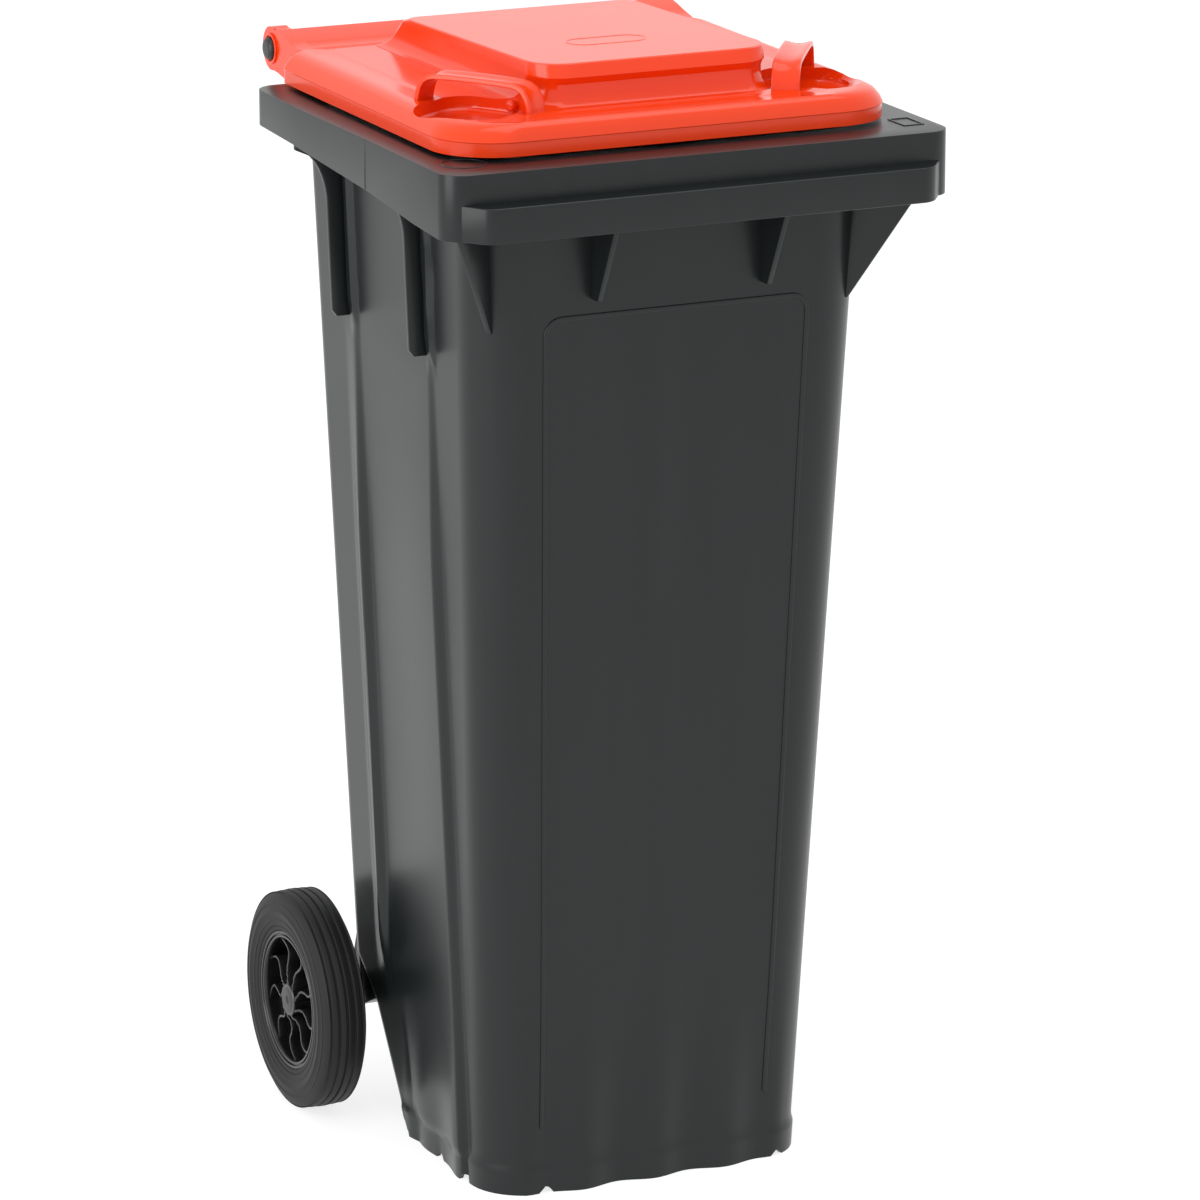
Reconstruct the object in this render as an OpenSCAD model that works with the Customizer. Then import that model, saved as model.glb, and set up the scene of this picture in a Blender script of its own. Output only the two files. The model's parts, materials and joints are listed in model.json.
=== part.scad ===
// Two-wheeled household waste bin with a swing-over lid, a handle bar that is also the lid's
// hinge, and a pair of rubber-tyred wheels on a snap-in steel axle.
// Millimetres, +Z up, front towards -Y. Origin on the ground under the middle of the bin.

/* [Rim] */
// Width over the rim
rim_w = 480; // [440:1:620]
// Depth of the rim, from its upper front face to its back edge
rim_d = 438; // [400:1:560]
// Height of the rim's top face above the ground
rim_h = 960; // [760:1:1000]
// Wall thickness of the rim
rim_wall = 4; // [3:0.5:6]
// Corner radius of the rim
rim_corner = 22; // [12:1:40]
// Height of the rim's front skirt
rim_front_drop = 57; // [50:1:75]
// Height of the rim's skirt at the back
rim_back_drop = 32; // [24:1:45]
// How far the comb band stands out of the rim's front
band_proud = 22; // [10:1:30]
// Depth of the comb band's ledge below the rim's top
band_ledge = 26; // [20:1:34]
// Length of the slanting end of the comb band
band_chamfer = 31; // [15:1:40]

/* [Tub] */
// Wall thickness of the tub
tub_wall = 4; // [3:0.5:6]
// How far the rim overhangs the tub's side
side_overhang = 48; // [35:1:60]
// How far the rim overhangs the tub's front
front_overhang = 46; // [40:1:60]
// How far the rim overhangs the tub's back
back_overhang = 7; // [5:1:20]
// Width of the foot
foot_w = 312; // [260:1:400]
// How far the front wall leans in from top to foot
front_lean = 54; // [40:1:80]
// How far the back wall leans in from the rim down to the wheel arch
back_lean = 21; // [10:1:40]
// Depth of the foot, from front to back
foot_d = 205; // [150:1:240]
// Height at which the wheel arch starts in the back wall
arch_top = 146; // [130:1:190]
// Height of the bend in the middle of the wheel arch
arch_bend = 112; // [100:1:125]
// How far forward of the back wall the arch is at that bend
arch_bend_in = 40; // [30:1:50]
// Radius of the tub's front corners
tub_front_corner = 50; // [30:1:60]
// Radius of the tub's back corners
tub_back_corner = 11; // [8:1:20]
// Radius of the foot ring's corners
foot_corner = 26; // [15:1:40]
// Height of the floor's upper side above the ground
floor_h = 34; // [28:1:50]
// Height of the hollow foot ring
foot_h = 26; // [20:1:27]

/* [Ribs] */
// Thickness of the ribs and gussets
rib_t = 5; // [3:0.5:7]
// How far the side ribs stand out of the tub
side_rib_proud = 18; // [10:1:26]
// Length of the side ribs below the rim's top
side_rib_len = 195; // [150:1:260]
// Place of the rear side ribs, forward of the rim's back
rear_rib_in = 92; // [70:1:120]
// Place of the front side ribs, forward of the rim's back
front_rib_in = 265; // [220:1:290]
// Length of the gussets below the rim's top
gusset_len = 130; // [110:1:170]
// Length of the corner gussets below the rim's top
corner_gusset_len = 156; // [130:1:190]
// Angle at which the corner gussets point outwards, from the tub's side
corner_gusset_turn = 42; // [35:1:50]
// Distance between the two middle gussets of the front
gusset_pitch = 162; // [120:1:200]
// Width of the raised bead that frames the front panel
bead_w = 4; // [3:0.5:6]
// How far that bead stands out
bead_proud = 1.5; // [1:0.1:3]
// Width of the front panel
panel_w = 256; // [200:1:280]

/* [Lid] */
// How far the lid's edge lies inside the rim's side
lid_side_in = 27; // [18:1:36]
// How far the lid's edge lies inside the rim's front
lid_front_in = 42; // [36:1:60]
// Gap between the rim's top and the lid's lower edge
lid_gap = 3; // [2:0.5:5]
// Wall thickness of the lid
lid_wall = 3.5; // [2.5:0.5:5]
// Height of the lid's skirt and shoulder
lid_skirt_h = 27; // [22:1:34]
// Radius of the lid's front corners
lid_corner = 58; // [45:1:70]
// Height of the raised middle above the lid's deck
crown_h = 38; // [25:1:45]
// Width of the raised middle
crown_w = 232; // [190:1:240]
// Depth of the raised middle, from front to back
crown_d = 294; // [240:1:310]
// Fall of the raised middle's top over its depth, towards the hinge
crown_drop = 7; // [0:1:14]
// Distance from the lid's front edge to the raised middle
crown_front_in = 49; // [36:1:60]
// How far the raised middle's sides lean in
crown_lean = 8; // [4:1:14]

/* [Lid grips] */
// Width of each grip, along its bar
grip_w = 115; // [95:1:125]
// Depth of each grip's bar
grip_d = 25; // [16:1:28]
// Height of each grip above the lid's deck
grip_h = 24; // [18:1:30]
// Thickness of each grip's bar and legs
grip_t = 5; // [4:0.5:6]
// Distance of the grips behind the lid's corner arcs
grip_in = 34; // [28:1:40]
// Angle of the grips across the lid's corners
grip_angle = 57; // [48:1:62]
// Depth of the finger pocket below the deck
pocket_depth = 13; // [8:1:16]
// How far the finger pocket reaches behind the middle of the bar
pocket_back = 36; // [24:1:40]
// How far the finger pocket reaches in front of the middle of the bar
pocket_front = 24; // [16:1:26]

/* [Hinge] */
// Distance from the rim's back edge to the lid's hinge
hinge_setback = 60; // [54:1:75]
// Height of the hinge above the rim's top
hinge_rise = 21; // [19:1:26]
// Radius of the handle bar
bar_r = 13.5; // [11:0.5:14]
// Length of the handle bar
bar_len = 362; // [300:1:366]
// Radius of the lid's hinge lugs
lug_r = 20; // [18:0.5:24]
// Thickness of the lid's hinge lugs
lug_t = 15; // [10:1:18]
// Radius of the hinge pins
pin_r = 6; // [4:0.5:8]
// How far the hinge pins reach into the handle bar
pin_grip = 26; // [18:1:40]
// Radius of the pins' round heads
pin_head_r = 10.5; // [8:0.5:14]
// Height of the pins' round heads
pin_head_h = 4; // [3:0.5:6]
// Width of the arms that carry the handle bar
arm_w = 18; // [12:1:26]

/* [Axle and wheels] */
// Radius of the tyres
wheel_r = 102.5; // [98:0.5:115]
// Width of the tyres
wheel_w = 45; // [35:1:50]
// Distance between the tyres' outer faces
track_w = 460; // [450:1:500]
// Radius of the axle
axle_r = 10; // [8:0.5:12]
// Distance from the rim's back edge forward to the axle
axle_in = 22.5; // [14:0.5:28]
// Radius of the tyre's seat on the wheel
seat_r = 62; // [56:1:68]
// Wall thickness of the wheel's ring
ring_t = 5; // [4:0.5:7]
// Radius of the wheel's hub
hub_r = 16; // [14:0.5:20]
// Number of curved spokes
spokes = 9; // [6:1:12]
// Thickness of each spoke
spoke_t = 3; // [2:0.5:5]
// Number of grooves in the tread
tread_grooves = 4; // [2:1:6]
// Radius of the hub caps
cap_r = 14; // [12:0.5:14]
// Thickness of the axle washers
washer_t = 2; // [1.5:0.5:3]
// Thickness of the retaining rings
clip_t = 1.5; // [1:0.5:2]

/* [Clearances] */
// Radial clearance between a pin or axle and the part that turns on it
running_fit = 0.08; // [0.03:0.01:0.1]
// Radial clearance of a pin or axle in its fixed seat
seat_fit = 0.03; // [0.02:0.01:0.05]
// Gap between faces that turn past each other
face_gap = 0.3; // [0.2:0.05:0.5]
// Least gap between the tub's side and a tyre
wheel_clear = 8; // [5:1:15]

/* [Hidden] */
through = 2;
slice = 0.5;

body_color = [0.16, 0.18, 0.19];
lid_color = [0.92, 0.22, 0.09];
black_color = [0.05, 0.05, 0.055];
rubber_color = [0.10, 0.10, 0.10];
steel_color = [0.70, 0.71, 0.72];

// Overall depth runs from the comb band's face to the back of the lugs or of the tyres.
overall_d = band_proud + rim_d + max(hinge_setback + lug_r, wheel_r - axle_in);
band_y = -overall_d / 2;
rim_y0 = band_y + band_proud;
rim_y1 = rim_y0 + rim_d;
hinge_y = rim_y1 + hinge_setback;
hinge_z = rim_h + hinge_rise;
axle_y = rim_y1 - axle_in;
axle_z = wheel_r;

// The tub's outer sections: [half width, front y, back y] at a height.
tub_top_z = rim_h - rim_wall;
tub_top = [rim_w / 2 - side_overhang, rim_y0 + front_overhang, rim_y1 - back_overhang];
foot = [foot_w / 2, tub_top[1] + front_lean, tub_top[1] + front_lean + foot_d];
function share(z) = z / tub_top_z;
function half_w(z) = foot[0] + (tub_top[0] - foot[0]) * share(z);
function front_y(z) = foot[1] + (tub_top[1] - foot[1]) * share(z);
arch_y = tub_top[2] - back_lean;
function back_y(z) = arch_y + back_lean * (z - arch_top) / (tub_top_z - arch_top);
bend_y = arch_y - arch_bend_in;

front_angle = atan2(front_lean, tub_top_z);

lid_z0 = rim_h + lid_gap;
deck_z = lid_z0 + lid_skirt_h;
lid_half_w = rim_w / 2 - lid_side_in;
lid_y0 = rim_y0 + lid_front_in;
lid_y1 = rim_y1;
crown_y0 = lid_y0 + crown_front_in;
crown_y1 = crown_y0 + crown_d;
crown_foot_y1 = max(crown_y1, lid_y1 - 6);
lid_soft = 8;
lid_rear_corner = 16;
bar_half = bar_len / 2;
lug_x = bar_half + face_gap;
strip_top_z = hinge_z + lug_r - 1;
strip_y = hinge_y - 14;

// The wheels keep clear of the tub's side, however wide its foot is.
wheel_x1 = max(track_w / 2, half_w(2 * wheel_r) + wheel_clear + wheel_w);
wheel_x0 = wheel_x1 - wheel_w;
saddle_x1 = half_w(axle_z) - 2;
saddle_x0 = saddle_x1 - 40;
washer_x0 = saddle_x1 + face_gap;
hub_x0 = washer_x0 + washer_t + face_gap;
hub_x1 = wheel_x1 - 14;
clip_x0 = hub_x1 + face_gap;
clip_groove = 1;
clip_r = axle_r + 2.2;
axle_half = clip_x0 + clip_t + 3;
cap_x0 = hub_x1;
cap_x1 = cap_x0 + 10;
cap_wall = 1.5;
// The cap's rim passes over the retaining ring.
cap_outer_r = max(cap_r, clip_r + face_gap + cap_wall);

// A plan outline with its own front and back corner radii, made only of squares and circles.
module plan(half, y0, y1, r_front, r_back) {
    translate([r_front - half, y0]) square([2 * (half - r_front), (y1 - y0) / 2]);
    translate([r_back - half, y0 + r_front]) square([2 * (half - r_back), y1 - y0 - r_front]);
    translate([-half, y0 + r_front]) square([2 * half, y1 - y0 - r_front - r_back]);
    for (side = [-1, 1]) {
        translate([side * (half - r_front), y0 + r_front]) circle(r_front, $fn = 48);
        translate([side * (half - r_back), y1 - r_back]) circle(r_back, $fn = 48);
    }
}

// A rounded rectangle made only of squares and circles, so that it extrudes with true arcs.
module round_rect(x0, x1, y0, y1, r) {
    translate([x0 + r, y0]) square([x1 - x0 - 2 * r, y1 - y0]);
    translate([x0, y0 + r]) square([x1 - x0, y1 - y0 - 2 * r]);
    for (x = [x0 + r, x1 - r], y = [y0 + r, y1 - r]) translate([x, y]) circle(r, $fn = 64);
}

// A plate of constant thickness across X, drawn in the (y, z) plane.
module side_plate(points, x, t) {
    translate([x - t / 2, 0, 0]) rotate([90, 0, 90]) linear_extrude(t) polygon(points);
}

// A plate of constant thickness across Y, drawn in the (x, z) plane.
module front_plate(points, y, t) {
    translate([0, y + t / 2, 0]) rotate([90, 0, 0]) linear_extrude(t) polygon(points);
}

// A cylinder along X from x0 to x1, on the line (y, z).
module x_rod(x0, x1, y, z, r) {
    translate([x0, y, z]) rotate([0, 90, 0]) cylinder(h = x1 - x0, r = r, $fn = 96);
}

// ---------------------------------------------------------------- tub

// The solid shape of the tub from z0 to top, shrunk by the inset t on every side.
module tub_form(t, z0, top) {
    heel_y = foot[2] + z0 * (bend_y - foot[2]) / arch_bend;
    intersection() {
        translate([-rim_w / 2, 0, 0]) rotate([90, 0, 90]) linear_extrude(rim_w)
            polygon([[front_y(z0) + t, z0], [heel_y - t, z0], [bend_y - t, arch_bend + t / 2],
                [arch_y - t, arch_top + t / 2], [back_y(top) - t, top], [front_y(top) + t, top]]);
        translate([0, rim_w, 0]) rotate([90, 0, 0]) linear_extrude(2 * rim_w)
            polygon([[-half_w(z0) + t, z0], [half_w(z0) - t, z0],
                [half_w(top) - t, top], [-half_w(top) + t, top]]);
        tub_corners(t, z0, top);
    }
}

// Leaning prism, a little wider than the tub, whose rounded upright edges trim its corners.
module tub_corners(t, z0, top) {
    wider = 1;
    fuller = 3 * wider - t;
    hull() {
        for (z = [z0 - through, top])
            translate([0, 0, z]) linear_extrude(through)
                plan(half_w(z) - t + wider, front_y(z) + t - wider, back_y(z) - t + wider,
                    tub_front_corner + fuller, tub_back_corner + fuller);
    }
}

// Lower edge of the rim's side skirt: deep at the front, shallow along the back.
function skirt_edge() = [[rim_y0, rim_h - rim_front_drop], [rim_y0 + 73, rim_h - rim_front_drop + 3],
    [rim_y0 + 183, rim_h - 44], [rim_y0 + 343, rim_h - 35], [rim_y1, rim_h - rim_back_drop]];

module rim_outline(t) {
    round_rect(-rim_w / 2 + t, rim_w / 2 - t, rim_y0 + t, rim_y1 - t, rim_corner - t);
}

// Flange, skirt and comb band in one, open from below so that a lifting comb can reach in.
module rim() {
    difference() {
        union() {
            intersection() {
                translate([0, 0, rim_h - rim_front_drop]) linear_extrude(rim_front_drop) rim_outline(0);
                translate([-rim_w, 0, 0]) rotate([90, 0, 90]) linear_extrude(2 * rim_w)
                    polygon(concat(skirt_edge(), [[rim_y1, rim_h + 1], [rim_y0, rim_h + 1]]));
            }
            comb_band();
        }
        translate([0, 0, rim_h - rim_front_drop - through])
            linear_extrude(rim_front_drop + through - rim_wall) rim_outline(rim_wall);
        comb_channel();
    }
}

// The band that a lifting comb bears on: a ledge and a front wall with slanting ends.
module comb_band() {
    z0 = rim_h - rim_front_drop;
    half = rim_w / 2;
    translate([0, 0, z0]) linear_extrude(rim_front_drop - band_ledge)
        polygon([[-half + rim_corner, rim_y0 + rim_wall], [-half + rim_corner / 2, rim_y0 + 1],
            [-half + band_chamfer, band_y], [half - band_chamfer, band_y],
            [half - rim_corner / 2, rim_y0 + 1], [half - rim_corner, rim_y0 + rim_wall]]);
}

// Space behind the band, which opens into the hollow under the flange.
module comb_channel() {
    half = rim_w / 2 - band_chamfer - rim_wall;
    translate([-half, band_y + rim_wall, rim_h - rim_front_drop - through])
        cube([2 * half, band_proud + 1, rim_front_drop - band_ledge - rim_wall + through]);
}

// Ribs down the tub's sides: a straight lower part that flares out to the rim.
module side_rib(side, y) {
    z0 = rim_h - side_rib_len;
    z1 = rim_h - rim_wall;
    wall_low = half_w(z0) - 1;
    wall_high = half_w(z1) - 1;
    low = half_w(z0) + side_rib_proud;
    edge = rim_w / 2 - rim_wall / 2;
    front_plate([[side * wall_low, z0], [side * (low - 4), z0], [side * low, z0 + 6],
        [side * (half_w(z1 - 90) + side_rib_proud), z1 - 90], [side * (edge - 16), z1 - 52],
        [side * edge, z1 - 30], [side * edge, z1], [side * wall_high, z1]], y, rib_t);
}

// Gusset that points diagonally out of the tub's front corner to the rim's corner.
module corner_gusset(side) {
    z0 = rim_h - corner_gusset_len;
    root = tub_front_corner - 16;
    foot_in = tub_front_corner * (tub_top_z - z0) / tub_top_z;
    reach = norm([side_overhang, front_overhang]) + tub_front_corner - rim_wall;
    translate([side * (tub_top[0] - tub_front_corner), tub_top[1] + tub_front_corner, 0])
        rotate([0, 0, side > 0 ? -corner_gusset_turn : 180 + corner_gusset_turn])
            front_plate([[root - foot_in, z0 + 2], [tub_front_corner - foot_in, z0],
                [reach, rim_h - rim_front_drop / 2], [reach, rim_h - rim_wall],
                [root, rim_h - rim_wall]], 0, rib_t);
}

module front_gusset(x) {
    z0 = rim_h - gusset_len;
    side_plate([[front_y(z0) + 1, z0], [front_y(z0) - 1, z0],
        [rim_y0 + rim_wall / 2, rim_h - rim_front_drop], [rim_y0 + rim_wall / 2, rim_h - rim_wall],
        [tub_top[1] + 1, rim_h - rim_wall]], x, rib_t);
}

// Raised bead round the front panel, laid on the leaning front wall.
module front_bead() {
    half = panel_w / 2;
    height = tub_top_z - 200;
    translate([0, foot[1], 0]) rotate([front_angle, 0, 0]) translate([0, bead_proud, 60])
        rotate([90, 0, 0]) linear_extrude(2 * bead_proud) difference() {
            round_rect(-half, half, 0, height, 18);
            round_rect(-half + bead_w, half - bead_w, -through, height - bead_w, 14);
        }
}

// Arms that carry the handle bar from the rim's back edge.
module handle_arm(x) {
    root_y = rim_y1 - rim_wall / 2;
    side_plate([[root_y, rim_h - rim_back_drop + 2], [root_y, rim_h - 1], [rim_y1 + 24, hinge_z - 3],
        [hinge_y - 4, hinge_z + 5], [hinge_y - 4, hinge_z - 8], [rim_y1 + 28, hinge_z - 19]], x, arm_w);
}

// Blind bores in the ends of the handle bar, for the hinge pins.
module pin_seats() {
    depth = pin_grip + 1;
    x_rod(bar_half - depth, bar_half + through, hinge_y, hinge_z, pin_r + seat_fit);
    x_rod(-bar_half - through, -bar_half + depth, hinge_y, hinge_z, pin_r + seat_fit);
}

// Saddle under the wheel arch that the axle snaps into from below.
module axle_saddle(side) {
    x = side * (saddle_x0 + saddle_x1) / 2;
    side_plate([[axle_y - 19, axle_z - 8], [axle_y + 15, axle_z - 8], [axle_y + 17, axle_z + 4],
        [arch_y - 2, arch_top + 22], [arch_y - 8, arch_top + 22], [bend_y + 2, arch_bend + 8],
        [bend_y - 2, arch_bend]], x, saddle_x1 - saddle_x0);
}

module axle_seats() {
    throat = axle_r * 0.85;
    for (side = [-1, 1]) {
        x0 = side > 0 ? saddle_x0 - through : -saddle_x1 - through;
        length = saddle_x1 - saddle_x0 + 2 * through;
        x_rod(x0, x0 + length, axle_y, axle_z, axle_r + seat_fit);
        translate([x0, axle_y - throat, axle_z - 3 * axle_r]) cube([length, 2 * throat, 3 * axle_r]);
    }
}

module bin_body() {
    color(body_color) difference() {
        union() {
            tub_form(0, 0, rim_h - 1);
            foot_ring();
            rim();
            for (side = [-1, 1]) {
                side_rib(side, rim_y1 - rear_rib_in);
                side_rib(side, rim_y1 - front_rib_in);
                corner_gusset(side);
                front_gusset(side * gusset_pitch / 2);
                axle_saddle(side);
            }
            front_bead();
            for (x = [-bar_half + arm_w / 2, 0, bar_half - arm_w / 2]) handle_arm(x);
            x_rod(-bar_half, bar_half, hinge_y, hinge_z, bar_r);
        }
        tub_form(tub_wall, floor_h, rim_h + through);
        foot_hollow();
        axle_seats();
        pin_seats();
    }
}

// The space under the floor, which leaves a foot ring to stand on.
module foot_hollow() {
    wall = 2 * tub_wall;
    r = foot_corner - wall;
    translate([0, 0, -through]) linear_extrude(foot_h + through)
        round_rect(-foot[0] + wall, foot[0] - wall, foot[1] + wall, foot[2] - wall, r);
}

// Foot ring: squarer at the front corners than the wall above it.
module foot_ring() {
    linear_extrude(foot_h) plan(foot[0], foot[1], foot[2], foot_corner, tub_back_corner);
}

// ---------------------------------------------------------------- lid

// The lid's outer or inner form: skirt, soft shoulder and deck.
module lid_form(t) {
    top = deck_z - t;
    y1 = lid_y1 - t;
    z0 = t == 0 ? lid_z0 : lid_z0 - through;
    translate([0, 0, z0]) linear_extrude(top - lid_soft - z0)
        plan(lid_half_w - t, lid_y0 + t, y1, lid_corner - t, lid_rear_corner - t);
    hull() {
        translate([0, 0, top - lid_soft - slice]) linear_extrude(slice)
            plan(lid_half_w - t, lid_y0 + t, y1, lid_corner - t, lid_rear_corner - t);
        translate([0, 0, top - slice]) linear_extrude(slice)
            plan(lid_half_w - t - lid_soft, lid_y0 + t + lid_soft, y1 - lid_soft / 4,
                lid_corner - t - lid_soft, lid_rear_corner - t - lid_soft / 2);
    }
}

module crown_form(t) {
    half = crown_w / 2 - t;
    z0 = deck_z - lid_wall - (t == 0 ? 0 : through);
    z1 = deck_z + crown_h - t;
    hull() {
        translate([0, 0, z0]) linear_extrude(slice)
            round_rect(-half, half, crown_y0 + t, crown_foot_y1 - t, 14);
        translate([0, crown_y0, z1]) rotate([-atan(crown_drop / crown_d), 0, 0])
            translate([0, -crown_y0, -slice]) linear_extrude(slice)
                round_rect(-half + crown_lean, half - crown_lean,
                    crown_y0 + t + crown_lean / 4, crown_y1 - t - crown_lean, 14);
    }
}

// Back strip of the lid, which climbs from the deck to the height of the lugs.
module back_strip() {
    side_plate([[lid_y1 - 8, deck_z - lid_wall], [lid_y1 + 12, deck_z - lid_wall],
        [strip_y, strip_top_z - lid_wall], [strip_y, strip_top_z], [lid_y1 + 10, deck_z],
        [lid_y1 - 8, deck_z]], 0, 2 * lug_x + lug_t);
}

module lid_lug(side) {
    x0 = side > 0 ? lug_x : -lug_x - lug_t;
    x_rod(x0, x0 + lug_t, hinge_y, hinge_z, lug_r);
    side_plate([[lid_y1 - 6, lid_z0 + 6], [lid_y1 + 18, lid_z0 - 6], [hinge_y - 14, hinge_z - 24],
        [hinge_y, hinge_z - lug_r + 1], [hinge_y, hinge_z + lug_r - 1], [strip_y, strip_top_z],
        [lid_y1 + 10, deck_z], [lid_y1 - 6, deck_z - 1]], side * (lug_x + lug_t / 2), lug_t);
}

// Places a grip's own frame at a front corner: x along the bar, y outwards.
module at_grip(side) {
    reach = lid_corner * 0.95;
    translate([side * (lid_half_w - reach), lid_y0 + reach + grip_in, deck_z])
        rotate([0, 0, side > 0 ? 180 + grip_angle : 180 - grip_angle]) children();
}

// Finger pocket under the bar, or, with t above zero, the block that its walls are cut from.
module pocket(t) {
    half = grip_w / 2 - grip_t - 2 + t;
    top = t == 0 ? through : -lid_wall / 2;
    translate([0, 0, -pocket_depth - t]) linear_extrude(pocket_depth + t + top)
        round_rect(-half, half, -pocket_back - t, pocket_front + t, 14 + t);
}

// Bar and two legs over the pocket, as one bent strip that is rooted in the deck.
module grip_bridge() {
    half = grip_w / 2;
    root = -lid_wall / 2;
    inner_h = grip_h - grip_t;
    inner = half - grip_t;
    translate([0, grip_d / 2, 0]) rotate([90, 0, 0]) linear_extrude(grip_d)
        polygon([[-half - 3, root], [-half + 1, grip_h - 7], [-half + 8, grip_h], [half - 8, grip_h],
            [half - 1, grip_h - 7], [half + 3, root], [inner, root], [inner - 2, inner_h - 6],
            [inner - 8, inner_h], [8 - inner, inner_h], [2 - inner, inner_h - 6], [-inner, root]]);
}

module lid() {
    color(lid_color) difference() {
        union() {
            difference() {
                union() {
                    lid_form(0);
                    crown_form(0);
                }
                lid_form(lid_wall);
                crown_form(lid_wall);
            }
            back_strip();
            for (side = [-1, 1]) {
                lid_lug(side);
                intersection() {
                    at_grip(side) pocket(lid_wall);
                    lid_form(0);
                }
                at_grip(side) grip_bridge();
            }
        }
        for (side = [-1, 1]) at_grip(side) pocket(0);
        x_rod(lug_x - through, lug_x + lug_t + through, hinge_y, hinge_z, pin_r + running_fit);
        x_rod(-lug_x - lug_t - through, -lug_x + through, hinge_y, hinge_z, pin_r + running_fit);
    }
}

// ---------------------------------------------------------------- hinge pins

// Push-in pin with a domed head, drawn along +X and mirrored for the left side.
module hinge_pin() {
    head_x = lug_x + lug_t + face_gap;
    tip_x = bar_half - pin_grip;
    nose = 4;
    translate([0, hinge_y, hinge_z]) rotate([0, 90, 0]) {
        translate([0, 0, tip_x + nose]) cylinder(h = head_x - tip_x - nose, r = pin_r, $fn = 96);
        translate([0, 0, tip_x]) cylinder(h = nose, r1 = pin_r - 1.5, r2 = pin_r, $fn = 96);
        translate([0, 0, head_x]) rotate_extrude($fn = 96)
            polygon([[0, 0], [pin_head_r, 0], [pin_head_r, pin_head_h * 0.4],
                [pin_head_r - 1.2, pin_head_h * 0.75], [pin_head_r - 4, pin_head_h], [0, pin_head_h]]);
    }
}

module hinge_pin_right() { color(black_color) hinge_pin(); }
module hinge_pin_left() { color(black_color) mirror([1, 0, 0]) hinge_pin(); }

// ---------------------------------------------------------------- axle and wheels

module axle() {
    color(steel_color) translate([0, axle_y, axle_z]) rotate([0, 90, 0]) rotate_extrude($fn = 96)
        polygon([[0, -axle_half], [axle_r - 1, -axle_half], [axle_r, -axle_half + 1],
            [axle_r, -clip_x0 - clip_t], [axle_r - clip_groove, -clip_x0 - clip_t],
            [axle_r - clip_groove, -clip_x0], [axle_r, -clip_x0],
            [axle_r, clip_x0], [axle_r - clip_groove, clip_x0],
            [axle_r - clip_groove, clip_x0 + clip_t], [axle_r, clip_x0 + clip_t],
            [axle_r, axle_half - 1], [axle_r - 1, axle_half], [0, axle_half]]);
}

// A solid of revolution about the axle, drawn as (radius, x) points for the right side.
module on_axle(points) {
    translate([0, axle_y, axle_z]) rotate([0, 90, 0]) rotate_extrude($fn = 128) polygon(points);
}

// A ring about the axle, from radius r0 to r1 and from x0 to x1.
module axle_ring(r0, r1, x0, x1) {
    on_axle([[r0, x0], [r1, x0], [r1, x1], [r0, x1]]);
}

module washer_shape() {
    axle_ring(axle_r + running_fit, hub_r + 1, washer_x0, washer_x0 + washer_t);
}

module axle_washer_right() { color(steel_color) washer_shape(); }
module axle_washer_left() { color(steel_color) mirror([1, 0, 0]) washer_shape(); }

// Push-on ring in the axle's groove, which keeps the wheel on.
module retaining_ring_shape() {
    seat = axle_r - clip_groove + seat_fit;
    axle_ring(seat, clip_r, clip_x0 + seat_fit, clip_x0 + clip_t - seat_fit);
}

module retaining_ring_right() { color(steel_color) retaining_ring_shape(); }
module retaining_ring_left() { color(steel_color) mirror([1, 0, 0]) retaining_ring_shape(); }

// One curved spoke: a ring segment that swings from the hub to the wheel's ring.
module spoke(angle) {
    inner = seat_r - ring_t;
    arc_r = (inner - hub_r) * 0.62;
    middle = (inner + hub_r) / 2;
    rotate([0, 0, angle]) intersection() {
        difference() {
            translate([middle, -arc_r * 0.55]) circle(arc_r + spoke_t / 2, $fn = 64);
            translate([middle, -arc_r * 0.55]) circle(arc_r - spoke_t / 2, $fn = 64);
            translate([0, -2 * seat_r - arc_r * 0.55 + 8]) square([2 * seat_r, 2 * seat_r]);
        }
        difference() {
            circle(inner + 1, $fn = 96);
            circle(hub_r - 1, $fn = 96);
        }
    }
}

// Hub, dished web with curved spokes, and the ring with two lips that the tyre sits on.
module wheel_rim_shape() {
    inner = seat_r - ring_t;
    lip = seat_r + 3;
    web_x = wheel_x0 + wheel_w / 2;
    x0 = wheel_x0 + 4;
    x1 = wheel_x1 - 4;
    axle_ring(axle_r + running_fit, hub_r, hub_x0, hub_x1);
    on_axle([[inner, x0], [lip, x0], [lip, x0 + 4], [seat_r, x0 + 6], [seat_r, x1 - 6],
        [lip, x1 - 4], [lip, x1], [inner, x1]]);
    on_axle([[hub_r - 1, web_x - 12], [inner + 1, web_x - 6], [inner + 1, web_x - 2],
        [hub_r - 1, web_x - 8]]);
    translate([web_x - 8, axle_y, axle_z]) rotate([0, 90, 0]) linear_extrude(wheel_w / 2 - 6)
        for (i = [0 : spokes - 1]) spoke(i * 360 / spokes);
}

module wheel_rim_right() { color(black_color) wheel_rim_shape(); }
module wheel_rim_left() { color(black_color) mirror([1, 0, 0]) wheel_rim_shape(); }

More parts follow.
